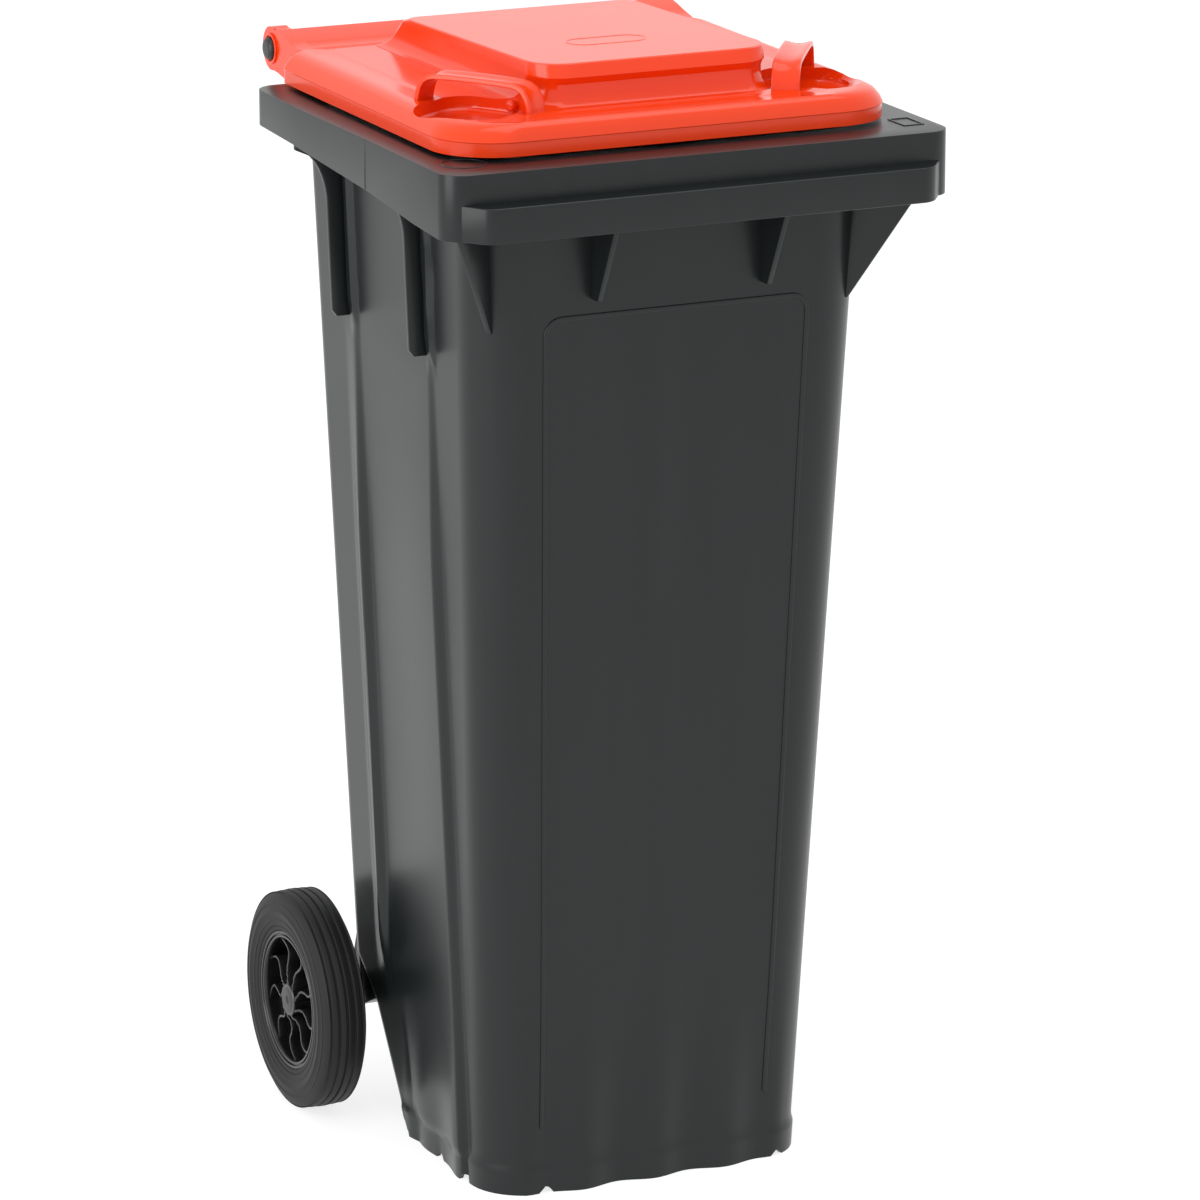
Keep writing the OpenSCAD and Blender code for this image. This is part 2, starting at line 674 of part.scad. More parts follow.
// Solid rubber tyre: it grips the ring between its lips, and its tread has round grooves.
module tyre_shape() {
    seat = seat_r + seat_fit;
    lip = seat_r + 3 + seat_fit;
    shoulder = 7;
    groove = 2.2;
    bulge = wheel_r - 22;
    pitch = (wheel_w - 2 * shoulder) / tread_grooves;
    difference() {
        on_axle([[seat, wheel_x0 + 10], [lip, wheel_x0 + 8], [lip, wheel_x0 + 4],
            [lip + 3, wheel_x0 + 3], [bulge, wheel_x0], [wheel_r - shoulder, wheel_x0 + 2],
            [wheel_r - 1.5, wheel_x0 + shoulder], [wheel_r, wheel_x0 + 2 * shoulder],
            [wheel_r, wheel_x1 - 2 * shoulder], [wheel_r - 1.5, wheel_x1 - shoulder],
            [wheel_r - shoulder, wheel_x1 - 2], [bulge, wheel_x1], [lip + 3, wheel_x1 - 3],
            [lip, wheel_x1 - 4], [lip, wheel_x1 - 8], [seat, wheel_x1 - 10]]);
        for (i = [0 : tread_grooves]) tread_groove(wheel_x0 + shoulder + i * pitch, groove);
    }
}

module tread_groove(x, depth) {
    on_axle([[wheel_r - depth, x - 0.8], [wheel_r + 1, x - 1.2], [wheel_r + 1, x + 1.2],
        [wheel_r - depth, x + 0.8]]);
}

module tyre_right() { color(rubber_color) tyre_shape(); }
module tyre_left() { color(rubber_color) mirror([1, 0, 0]) tyre_shape(); }

// Cap over the axle's end, with a rim that sits on the hub.
module hub_cap_shape() {
    outer = cap_outer_r;
    inner = outer - cap_wall;
    on_axle([[inner, cap_x0], [outer, cap_x0], [outer, cap_x1 - 2], [outer - 2, cap_x1],
        [0, cap_x1], [0, cap_x1 - cap_wall], [inner, cap_x1 - cap_wall]]);
}

module hub_cap_right() { color(black_color) hub_cap_shape(); }
module hub_cap_left() { color(black_color) mirror([1, 0, 0]) hub_cap_shape(); }

bin_body();
lid();
hinge_pin_left();
hinge_pin_right();
axle();
axle_washer_left();
axle_washer_right();
wheel_rim_left();
wheel_rim_right();
tyre_left();
tyre_right();
retaining_ring_left();
retaining_ring_right();
hub_cap_left();
hub_cap_right();
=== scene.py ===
# %% [markdown]
# # A two-wheeled refuse bin
# The bin has four moving groups: the tub with its rim and handle bar, the lid that swings on
# that bar, and two wheels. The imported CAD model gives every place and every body. This script
# keeps the small turned CAD parts, and models the mouldings and wheels again with soft edges,
# flutes and creases, each as its own piece.

# %% Load the frame
import json
import math
import bmesh
import bpy
from mathutils import Matrix, Vector

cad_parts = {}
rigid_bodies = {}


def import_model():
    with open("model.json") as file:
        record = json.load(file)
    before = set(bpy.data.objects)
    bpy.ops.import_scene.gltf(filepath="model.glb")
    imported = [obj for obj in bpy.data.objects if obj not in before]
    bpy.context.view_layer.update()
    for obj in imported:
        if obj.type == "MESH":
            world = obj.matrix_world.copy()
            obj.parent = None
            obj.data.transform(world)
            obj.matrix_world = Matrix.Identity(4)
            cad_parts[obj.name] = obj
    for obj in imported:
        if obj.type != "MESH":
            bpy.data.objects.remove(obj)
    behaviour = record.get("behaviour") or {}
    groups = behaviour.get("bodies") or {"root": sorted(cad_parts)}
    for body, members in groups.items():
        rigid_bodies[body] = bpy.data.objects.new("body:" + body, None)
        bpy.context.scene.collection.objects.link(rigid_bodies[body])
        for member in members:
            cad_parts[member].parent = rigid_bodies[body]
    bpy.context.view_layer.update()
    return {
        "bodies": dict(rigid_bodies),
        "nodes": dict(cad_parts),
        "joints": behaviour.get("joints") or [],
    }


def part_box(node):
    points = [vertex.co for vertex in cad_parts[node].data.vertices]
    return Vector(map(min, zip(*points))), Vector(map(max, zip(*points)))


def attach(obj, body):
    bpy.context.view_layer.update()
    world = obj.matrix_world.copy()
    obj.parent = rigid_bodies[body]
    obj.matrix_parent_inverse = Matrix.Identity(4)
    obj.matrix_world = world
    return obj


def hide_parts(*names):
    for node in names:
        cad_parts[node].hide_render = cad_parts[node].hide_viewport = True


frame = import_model()
bodies = sorted(frame["bodies"])
print("bodies:", bodies, "nodes:", len(frame["nodes"]))

# %% [markdown]
# ## Driving sizes
# All lengths are metres in the frame of the CAD model. The main places are read from the CAD
# boxes, and the rest are the bin's own sizes, such as wall thicknesses and corner radii.

# %% Driving sizes
mm = 0.001
bin_low, bin_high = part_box("bin_body")
lid_low, lid_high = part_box("lid")
tyre_low, tyre_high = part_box("tyre_right")
hinge = Vector(next(j["pos_m"] for j in frame["joints"] if j["name"] == "lid_hinge"))
axle = Vector((0, (tyre_low.y + tyre_high.y) / 2, (tyre_low.z + tyre_high.z) / 2))
wheel_r = (tyre_high.z - tyre_low.z) / 2
rim_half = bin_high.x
rim_top = hinge.z - 21 * mm
rim_back = hinge.y - 60 * mm
band_front = bin_low.y
rim_front = band_front + 22 * mm
rim_wall = 4 * mm
skirt_foot = rim_top - 57 * mm
ledge_z = rim_top - 26 * mm
tub_wall = 4 * mm
tub_top = rim_top - rim_wall
print("rim", round(2 * rim_half, 3), "wide, hinge at", tuple(round(v, 4) for v in hinge))

# %% Tub sections
top_half = rim_half - 48 * mm
top_front = rim_front + 46 * mm
top_back = rim_back - 7 * mm
foot_half = 156 * mm
foot_front = top_front + 54 * mm
foot_back = foot_front + 205 * mm
foot_band = 26 * mm
arch_top = 146 * mm
arch_back = top_back - 21 * mm
bend_top = 112 * mm
bend_back = arch_back - 40 * mm
front_corner = 50 * mm
back_corner = 11 * mm


def at_height(foot, top, z):
    """Size of a leaning wall at height z, between its size at the foot and at the top."""
    return foot + (top - foot) * z / tub_top


print("tub leans", round(math.degrees(math.atan2(foot_front - top_front, tub_top)), 2), "degrees")

# %% [markdown]
# ## Working in edit mode from code
# An operator acts on whatever is selected, so each helper first clears the selection and then
# picks what it needs by place or direction. `block` puts a cube at its final size and place,
# `pick` selects in edit mode, and `move` shifts the picked corners. Modifiers are applied at
# once, so that the next step works on real geometry.

# %% Modelling helpers
def only(piece):
    """Object mode, with just this piece selected."""
    if bpy.context.mode != "OBJECT":
        bpy.ops.object.mode_set(mode="OBJECT")
    bpy.ops.object.select_all(action="DESELECT")
    piece.select_set(True)
    bpy.context.view_layer.objects.active = piece


def named(piece, name):
    """Names the piece and puts its place into its mesh."""
    piece.name = name
    piece.data.name = name
    only(piece)
    bpy.ops.object.transform_apply(location=True, rotation=True, scale=True)
    return piece


def block(name, low, high):
    """A cube primitive from corner low to corner high."""
    bpy.ops.object.select_all(action="DESELECT")
    middle = (Vector(low) + Vector(high)) / 2
    bpy.ops.mesh.primitive_cube_add(size=1, location=middle)
    piece = bpy.context.object
    piece.scale = Vector(high) - Vector(low)
    return named(piece, name)


def rod(name, radius, x0, x1, y, z, vertices=48):
    """A solid rod along X."""
    bpy.ops.object.select_all(action="DESELECT")
    bpy.ops.mesh.primitive_cylinder_add(radius=radius, depth=x1 - x0, vertices=vertices,
                                        location=((x0 + x1) / 2, y, z), rotation=(0, math.pi / 2, 0))
    return named(bpy.context.object, name)


def thin_ring(name, place, radius, thickness, segments=48):
    """A torus that lies flat at place; thickness is the radius of its section."""
    bpy.ops.object.select_all(action="DESELECT")
    bpy.ops.mesh.primitive_torus_add(location=place, major_radius=radius, minor_radius=thickness,
                                     major_segments=segments, minor_segments=8)
    return named(bpy.context.object, name)


def swing(piece, angle, axis, centre):
    """Turns the piece's mesh about a world axis through centre."""
    there = Matrix.Translation(centre)
    back = Matrix.Translation(-Vector(centre))
    piece.matrix_world = there @ Matrix.Rotation(angle, 4, axis) @ back @ piece.matrix_world
    return named(piece, piece.name)


def pick(piece, kind, rule):
    """Edit mode, with just the VERT, EDGE or FACE items for which rule holds selected."""
    only(piece)
    bpy.ops.object.mode_set(mode="EDIT")
    bpy.ops.mesh.select_mode(type=kind)
    bpy.ops.mesh.select_all(action="DESELECT")
    mesh = bmesh.from_edit_mesh(piece.data)
    items = {"VERT": mesh.verts, "EDGE": mesh.edges, "FACE": mesh.faces}[kind]
    for item in [item for item in items if rule(item)]:
        item.select_set(True)
    mesh.select_flush_mode()
    bmesh.update_edit_mesh(piece.data)


def leave():
    bpy.ops.object.mode_set(mode="OBJECT")


def extrude(shift):
    """In edit mode, extrudes what is picked by shift."""
    bpy.ops.mesh.extrude_region_move(TRANSFORM_OT_translate={"value": shift})


def chain(name, corners):
    """A chain of corners joined by edges, left in edit mode with all of it selected."""
    bpy.ops.object.select_all(action="DESELECT")
    bpy.ops.mesh.primitive_plane_add(size=mm, location=corners[0])
    piece = named(bpy.context.object, name)
    pick(piece, "VERT", lambda v: True)
    bpy.ops.mesh.merge(type="CENTER")
    for here, there in zip(corners, corners[1:]):
        shift = tuple(b - a for a, b in zip(here, there))
        bpy.ops.mesh.extrude_vertices_move(TRANSFORM_OT_translate={"value": shift})
    bpy.ops.mesh.select_all(action="SELECT")
    return piece


def loop(name, corners):
    """A closed chain of corners, left in edit mode with all of it selected."""
    piece = chain(name, corners + corners[:1])
    bpy.ops.mesh.remove_doubles(threshold=0.01 * mm)
    bpy.ops.mesh.select_all(action="SELECT")
    return piece


def move(piece, rule, shift):
    """Moves the corners for which rule holds."""
    pick(piece, "VERT", rule)
    bpy.ops.transform.translate(value=shift)
    leave()


def slice_at(piece, point, normal):
    """Adds a ring of edges where a plane meets the piece."""
    pick(piece, "FACE", lambda f: True)
    bpy.ops.mesh.bisect(plane_co=point, plane_no=normal)
    leave()


def trim(piece, point, normal):
    """Cuts away what lies on the normal's side of a plane, and closes the cut."""
    pick(piece, "FACE", lambda f: True)
    bpy.ops.mesh.bisect(plane_co=point, plane_no=normal, clear_outer=True, use_fill=True)
    leave()


def remove_faces(piece, rule):
    pick(piece, "FACE", rule)
    bpy.ops.mesh.delete(type="FACE")
    leave()


def round_edges(piece, rule, radius, segments):
    pick(piece, "EDGE", rule)
    bpy.ops.mesh.bevel(offset=radius, segments=segments, affect="EDGES")
    leave()


def split_edges(piece, rule, cuts):
    pick(piece, "EDGE", rule)
    bpy.ops.mesh.subdivide(number_cuts=cuts)
    leave()


def modify(piece, kind, **settings):
    """Adds a modifier and applies it."""
    only(piece)
    modifier = piece.modifiers.new(kind.title(), kind)
    for name, value in settings.items():
        setattr(modifier, name, value)
    bpy.ops.object.modifier_apply(modifier=modifier.name)
    return piece


def soften(piece, width, segments=2, angle=35):
    """Small round on every edge that is sharper than angle degrees."""
    return modify(piece, "BEVEL", width=width, segments=segments, limit_method="ANGLE",
                  angle_limit=math.radians(angle), miter_outer="MITER_ARC")


def combine(piece, tool, operation):
    """Boolean of two closed pieces; the tool is used up."""
    modify(piece, "BOOLEAN", operation=operation, solver="EXACT", object=tool)
    bpy.data.objects.remove(tool)
    return tidy(piece)


def tidy(piece):
    """Merges doubled corners and dissolves flat seams that a cut leaves."""
    pick(piece, "FACE", lambda f: True)
    bpy.ops.mesh.remove_doubles(threshold=0.01 * mm)
    bpy.ops.mesh.dissolve_limited(angle_limit=math.radians(0.5))
    leave()
    return piece


def outward(piece):
    pick(piece, "FACE", lambda f: True)
    bpy.ops.mesh.remove_doubles(threshold=0.01 * mm)
    bpy.ops.mesh.normals_make_consistent(inside=False)
    leave()
    return piece


def smooth_shade(piece, angle=32):
    only(piece)
    bpy.ops.object.shade_smooth_by_angle(angle=math.radians(angle))
    return piece


def twin(piece, name):
    """A copy with its own mesh."""
    copy = piece.copy()
    copy.data = piece.data.copy()
    bpy.context.collection.objects.link(copy)
    copy.name = name
    copy.data.name = name
    return copy


def mirrored(piece, name):
    """A copy on the other side of the bin, with its faces turned outwards again."""
    copy = twin(piece, name)
    copy.matrix_world = Matrix.Diagonal((-1, 1, 1, 1)) @ copy.matrix_world
    named(copy, name)
    return outward(copy)


def joined(pieces, name):
    """Several meshes as one piece."""
    only(pieces[0])
    for piece in pieces:
        piece.select_set(True)
    bpy.ops.object.join()
    return named(pieces[0], name)


def upright(edge):
    span = edge.verts[1].co - edge.verts[0].co
    return abs(span.z) > 0.5 * span.length


def near(value, target, slack=0.5 * mm):
    return abs(value - target) < slack


def ease(t):
    """Smooth step from 0 to 1."""
    t = min(max(t, 0.0), 1.0)
    return t * t * (3 - 2 * t)


print("helpers ready")

# %% [markdown]
# ## Camera, floor and light
# A long lens from far away keeps the bin's upright edges nearly parallel. The bin stands on a
# wide pale floor under a white sky. A large soft panel on the camera's left makes the side
# faces a little lighter than the front, and a weaker one shines from above.

# %% Camera
camera_data = bpy.data.cameras.new("camera")
camera_data.sensor_width = 36
camera_data.lens = 200.9
camera_data.clip_end = 100
camera = bpy.data.objects.new("camera", camera_data)
bpy.context.scene.collection.objects.link(camera)
camera_place = Vector((-2.4383, -5.2943, 2.1166))
camera_target = Vector((-0.0065, -0.0480, 0.5157))
camera.location = camera_place
camera.rotation_euler = (camera_target - camera_place).to_track_quat("-Z", "Y").to_euler()
bpy.context.scene.camera = camera
print("camera", round((camera_target - camera_place).length, 3), "m away")

# %% Floor, sky and soft panels
sky = bpy.data.worlds.new("white_sky")
sky.use_nodes = True
sky.node_tree.nodes["Background"].inputs["Color"].default_value = (1, 1, 1, 1)
sky.node_tree.nodes["Background"].inputs["Strength"].default_value = 1.0
bpy.context.scene.world = sky
bpy.context.scene.view_settings.view_transform = "Standard"

bpy.ops.object.select_all(action="DESELECT")
bpy.ops.mesh.primitive_plane_add(size=60)
floor = named(bpy.context.object, "floor")


def soft_panel(name, place, target, width, height, power):
    """A large rectangular lamp that faces the target."""
    data = bpy.data.lights.new(name, "AREA")
    data.shape = "RECTANGLE"
    data.size = width
    data.size_y = height
    data.energy = power
    lamp = bpy.data.objects.new(name, data)
    lamp.location = place
    lamp.rotation_euler = (Vector(target) - Vector(place)).to_track_quat("-Z", "Y").to_euler()
    bpy.context.scene.collection.objects.link(lamp)
    return lamp


soft_panel("left_panel", (-3.2, -0.8, 1.6), (0, 0, 0.6), 2.4, 2.4, 60)
soft_panel("top_panel", (0.4, -0.6, 3.4), (0, 0, 0.9), 2.2, 2.2, 25)

# %% [markdown]
# ## Shader maths as plain expressions
# `Flow` wraps one output socket of a material. Adding or multiplying two flows adds a Math
# node, and `add` makes any other node. A finish then reads like ordinary arithmetic.

# %% Flow
class Flow:
    """One output in a material, with arithmetic that adds Math nodes."""

    def __init__(self, tree, socket):
        self.tree = tree
        self.socket = socket

    def add(self, kind, settings, sockets, output=0):
        """Adds a node: its settings first, then the values or links of its sockets."""
        node = self.tree.nodes.new(kind)
        for name, value in settings.items():
            setattr(node, name, value)
        for name, value in sockets.items():
            if isinstance(value, Flow):
                self.tree.links.new(value.socket, node.inputs[name])
            else:
                node.inputs[name].default_value = value
        return Flow(self.tree, node.outputs[output])

    def maths(self, operation, first, second):
        return self.add("ShaderNodeMath", {"operation": operation}, {0: first, 1: second})

    def __add__(self, other):
        return self.maths("ADD", self, other)

    def __radd__(self, other):
        return self.maths("ADD", other, self)

    def __mul__(self, other):
        return self.maths("MULTIPLY", self, other)

    def __rmul__(self, other):
        return self.maths("MULTIPLY", other, self)


# %% Finish helpers
def new_finish(name):
    """An empty material, its shader node and its object coordinates."""
    material = bpy.data.materials.new(name)
    material.use_nodes = True
    tree = material.node_tree
    shader = tree.nodes["Principled BSDF"]
    place = tree.nodes.new("ShaderNodeTexCoord")
    return material, shader, Flow(tree, place.outputs["Object"])


def speckle(place, scale, detail=2.0, stretch=(1, 1, 1)):
    """Noise in object space, stretched along an axis where the plastic flowed."""
    spread = place.add("ShaderNodeMapping", {}, {"Vector": place, "Scale": stretch})
    return place.add("ShaderNodeTexNoise", {}, {"Vector": spread, "Scale": scale, "Detail": detail})


def tint(factor, dark, light):
    """Colour between dark and light."""
    return factor.add("ShaderNodeMix", {"data_type": "RGBA"},
                      {"Factor": factor, 6: (*dark, 1), 7: (*light, 1)}, output=2)


def feed(shader, **flows):
    """Links flows to the shader's own sockets, or sets plain values there."""
    tree = shader.id_data
    for name, value in flows.items():
        socket = shader.inputs[name.replace("_", " ")]
        if isinstance(value, Flow):
            tree.links.new(value.socket, socket)
        else:
            socket.default_value = value


def bump(height, strength, distance):
    return height.add("ShaderNodeBump", {}, {"Height": height, "Strength": strength, "Distance": distance})


print("finish helpers ready")

# %% [markdown]
# ## Finishes
# The tub is moulded in anthracite polyethylene: nearly black, satin, with a fine grain and
# faint upright streaks where the melt ran up the mould. The lid is the same material in a
# glossy orange red. The wheels are shinier black polypropylene and the tyres matt rubber.

# %% Tub plastic
tub_plastic, shader, place = new_finish("anthracite_polyethylene")
streaks = speckle(place, 9.0, 3.0, (4.0, 4.0, 0.25))
grain = speckle(place, 900.0, 2.0)
cloud = speckle(place, 5.0, 4.0)
feed(shader,
     Base_Color=tint(streaks * 0.7 + cloud * 0.3, (0.0045, 0.0062, 0.0066), (0.0095, 0.0122, 0.0128)),
     Roughness=0.22 + grain * 0.08 + cloud * 0.10,
     Normal=bump(grain * 0.6 + streaks * 0.4, 0.10, 0.4 * mm),
     Specular_IOR_Level=0.36,
     IOR=1.5)
print(tub_plastic.name)

# %% Lid plastic
lid_plastic, shader, place = new_finish("orange_red_polyethylene")
cloud = speckle(place, 7.0, 3.0)
grain = speckle(place, 700.0, 2.0)
feed(shader,
     Base_Color=tint(cloud, (0.70, 0.034, 0.0012), (0.78, 0.046, 0.0024)),
     Roughness=0.12 + cloud * 0.10,
     Normal=bump(grain, 0.05, 0.3 * mm),
     Specular_IOR_Level=0.42,
     IOR=1.5)
print(lid_plastic.name)

# %% Wheel plastic
wheel_plastic, shader, place = new_finish("glossy_black_polypropylene")
cloud = speckle(place, 30.0, 3.0)
feed(shader,
     Base_Color=tint(cloud, (0.004, 0.004, 0.0045), (0.010, 0.010, 0.011)),
     Roughness=0.16 + cloud * 0.14,
     Normal=bump(cloud, 0.05, 0.4 * mm),
     IOR=1.5)
print(wheel_plastic.name)

# %% Cap plastic
cap_plastic, shader, place = new_finish("satin_black_nylon")
grain = speckle(place, 500.0, 2.0)
cloud = speckle(place, 40.0, 2.0)
feed(shader,
     Base_Color=tint(cloud, (0.008, 0.0088, 0.0095), (0.017, 0.018, 0.0195)),
     Roughness=0.34 + grain * 0.16,
     Normal=bump(grain, 0.15, 0.2 * mm),
     IOR=1.5)
print(cap_plastic.name)

# %% Tyre rubber
tyre_rubber, shader, place = new_finish("matt_black_rubber")
grain = speckle(place, 650.0, 3.0)
dust = speckle(place, 22.0, 5.0)
feed(shader,
     Base_Color=tint(dust, (0.008, 0.008, 0.0082), (0.016, 0.016, 0.0163)),
     Roughness=0.5 + dust * 0.2,
     Normal=bump(grain, 0.25, 0.3 * mm),
     Specular_IOR_Level=0.28,
     IOR=1.5)
print(tyre_rubber.name)

# %% Zinc-plated steel
zinc_steel, shader, place = new_finish("zinc_plated_steel")
drawn = speckle(place, 120.0, 3.0, (0.1, 1.0, 1.0))
cloud = speckle(place, 30.0, 3.0)
feed(shader,
     Base_Color=tint(cloud, (0.42, 0.43, 0.43), (0.62, 0.62, 0.60)),
     Metallic=1.0,
     Roughness=0.26 + drawn * 0.2,
     Normal=bump(drawn, 0.08, 0.2 * mm))
print(zinc_steel.name)

# %% Floor
floor_finish, shader, place = new_finish("pale_floor")
cloud = speckle(place, 3.0, 2.0)
feed(shader, Base_Color=tint(cloud, (0.30, 0.30, 0.30), (0.32, 0.32, 0.32)), Roughness=0.9,
     Emission_Color=(1, 1, 1, 1), Emission_Strength=0.78, Specular_IOR_Level=0.0)
floor.data.materials.append(floor_finish)


def dress(piece, finish, slot, body, *stands_for):
    """Gives a finished piece its material and its body, and hides the CAD nodes it stands for; slot is not
    used.
    """
    piece.data.materials.clear()
    piece.data.materials.append(finish)
    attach(piece, body)
    if stands_for:
        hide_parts(*stands_for)
    print(piece.name, len(piece.data.polygons), "faces")
    return piece


def on_tub(piece, angle=32):
    """Smooths a finished piece of the tub's moulding and dresses it."""
    return dress(smooth_shade(piece, angle), tub_plastic, "body_plastic", "bin")


def dress_pair(piece, finish, slot, body, *stands_for):
    """Dresses a right-hand piece and its mirror image; a {side} in body or node is filled in."""
    left = mirrored(piece, piece.name + "_left")
    right = named(piece, piece.name + "_right")
    for half, side in ((left, "left"), (right, "right")):
        smooth_shade(half, 34)
        nodes = [node.format(side=side) for node in stands_for]
        dress(half, finish, slot, body.format(side=side), *nodes)


print("floor", floor_finish.name)

# %% [markdown]
# ## The tub's wall
# The tub is one leaning wall, folded round four corners: wide and soft at the front, tight at
# the back. It starts as a cube. Rings are cut where the back wall bends for the wheels, each
# ring is moved to its own size, and the upright edges are bevelled into round corners. Then
# the flat stretches are divided finely, so that creases and flutes can be pressed into them.

# %% The leaning box
tub = block("tub_wall", (-top_half, top_front, 0), (top_half, top_back, tub_top))
for height in (foot_band, bend_top, arch_top):
    slice_at(tub, (0, 0, height), (0, 0, 1))
back_at = {0: foot_back, foot_band: foot_back + (bend_back - foot_back) * foot_band / bend_top,
           bend_top: bend_back, arch_top: arch_back}
for height, back in back_at.items():
    lean_x = top_half - at_height(foot_half, top_half, height)
    lean_y = at_height(foot_front, top_front, height) - top_front
    move(tub, lambda v: near(v.co.z, height) and v.co.y > 0, (0, back - top_back, 0))
    move(tub, lambda v: near(v.co.z, height) and v.co.y < 0, (0, lean_y, 0))
    move(tub, lambda v: near(v.co.z, height) and v.co.x > 0, (-lean_x, 0, 0))
    move(tub, lambda v: near(v.co.z, height) and v.co.x < 0, (lean_x, 0, 0))
remove_faces(tub, lambda f: abs(f.normal.z) > 0.9)


def upright_at(front):
    """Rule that picks the upright edges of the front or of the back corners."""
    return lambda e: (upright(e) and abs(e.verts[0].co.x) > foot_half - mm
                      and (e.verts[0].co.y < 0) == front)


round_edges(tub, upright_at(True), front_corner, 12)
round_edges(tub, upright_at(False), back_corner, 4)
print("tub wall:", len(tub.data.polygons), "faces")

# %% The mouth of the tub, kept as a tool for cutting the rim
mouth_tool = twin(tub, "mouth_tool")
for height in (foot_band, bend_top, arch_top):
    pick(mouth_tool, "EDGE", lambda e: near(e.verts[0].co.z, height) and near(e.verts[1].co.z, height))
    bpy.ops.mesh.dissolve_edges()
    leave()
pick(mouth_tool, "EDGE", lambda e: e.is_boundary)
bpy.ops.mesh.edge_face_add()
leave()
trim(mouth_tool, (0, 0, tub_top - 40 * mm), (0, 0, -1))
outward(mouth_tool)
pick(mouth_tool, "VERT", lambda v: True)
mouth_middle = (top_front + top_back) / 2
bpy.ops.transform.resize(value=(1 - tub_wall / top_half, 1 - 2 * tub_wall / (top_back - top_front), 1),
                         center_override=(0, mouth_middle, 0))
leave()
move(mouth_tool, lambda v: near(v.co.z, tub_top), (0, 0, 20 * mm))
print("mouth tool:", len(mouth_tool.data.polygons), "faces")

# %% Fine divisions
def level(edge):
    return abs(edge.verts[0].co.z - edge.verts[1].co.z) < 0.2 * edge.calc_length()


def runs_in(edge, axis):
    """True for a long level edge that lies along the given axis."""
    span = edge.verts[1].co - edge.verts[0].co
    return level(edge) and abs(span[axis]) > 0.98 * span.length and span.length > 60 * mm


split_edges(tub, lambda e: runs_in(e, 0) and e.verts[0].co.y < 0, 84)
split_edges(tub, lambda e: runs_in(e, 0) and e.verts[0].co.y > 0, 30)
split_edges(tub, lambda e: runs_in(e, 1) and abs(e.verts[0].co.x) > foot_half - mm, 110)
stretches = [(0, foot_band, 7), (foot_band, bend_top, 16), (bend_top, arch_top, 4), (arch_top, tub_top, 60)]
for low, high, cuts in stretches:
    split_edges(tub, lambda e: upright(e) and near(min(v.co.z for v in e.verts), low)
                and near(max(v.co.z for v in e.verts), high), cuts)
print("divided wall:", len(tub.data.polygons), "faces")

# %% [markdown]
# ## Creases and flutes
# The side walls aren't flat. Below each side rib a crease runs down to the foot: in front of
# it the wall stands proud, and behind it the wall falls back and slowly comes out again. Near
# the foot, the front and the sides ripple, which stiffens the edge that the bin stands on.
# Such a surface is a height over a plane, so the height is written as a function and each
# corner of the mesh is moved by it. The same function presses the raised frame of the front.

# %% Relief of the wall
rib_back_y = rim_back - 92 * mm
rib_front_y = rim_back - 265 * mm
rib_foot = rim_top - 195 * mm
crease_depth = 5 * mm
flute_depth = 3.6 * mm
flute_front_pitch = 70 * mm
flute_side_pitch = 90 * mm


def flute_share(z):
    """Flutes are full at the foot and run out upwards."""
    return ease((230 * mm - z) / (200 * mm))


def front_relief(x, z):
    """How far the front wall stands out at x, z."""
    half_panel = 118 * mm
    edge = 1 - ease((abs(x) - half_panel) / (16 * mm))
    return flute_depth * math.cos(2 * math.pi * x / flute_front_pitch) * flute_share(z) * edge


def side_relief(y, z):
    """How far the side wall stands out at y, z."""
    depth = crease_depth * ease((rib_foot - z) / (220 * mm)) + 1.6 * mm * ease((rib_foot - z) / (12 * mm))
    front_crease = -88 * mm - 7 * mm * (1 - z / rib_foot)
    back_crease = 77 * mm - 9 * mm * (1 - z / rib_foot)
    edge = 11 * mm
    if y < back_crease:
        across = (y - front_crease) / (back_crease - front_crease)
        relief = -depth * ease((y - front_crease) / edge) * (1 - ease(across))
    else:
        rise = ease((y - back_crease - 8 * mm) / (30 * mm))
        relief = -depth * ease((y - back_crease) / edge) * (1 - rise)
    ripple = 0.7 * flute_depth * math.cos(2 * math.pi * (y + 39 * mm) / flute_side_pitch)
    for rib_y in (rib_back_y, rib_front_y):
        beside = ease((y - rib_y + 19 * mm) / (4 * mm)) * ease((rib_y - 2 * mm - y) / (4 * mm))
        relief -= 5 * mm * beside * ease((z - rib_foot) / (8 * mm))
    behind = 1 - ease((y - 30 * mm) / (30 * mm)) * ease((190 * mm - z) / (60 * mm))
    return (relief + ripple * flute_share(z + 70 * mm) * ease((y - front_crease) / (24 * mm))) * behind


def band_relief(z):
    """The foot band stands proud of the wall above it."""
    return 2.2 * mm * (1 - ease((z - 22 * mm) / (7 * mm)))


print("relief at the foot:", round(1000 * side_relief(0, 0.03), 2), "mm")

# %% Press the relief
notches = [("x", -106 * mm), ("x", 125 * mm), ("y", 46 * mm), ("y", -26 * mm), ("y", -88 * mm)]
notch_r = 6 * mm


def notch_lift(co, facing):
    """Small round notches in the lower edge, where water runs off."""
    along = co.x if facing == "x" else co.y
    best = max(notch_r ** 2 - (along - place) ** 2 for axis, place in notches if axis == facing)
    return math.sqrt(best) if best > 0 else 0.0


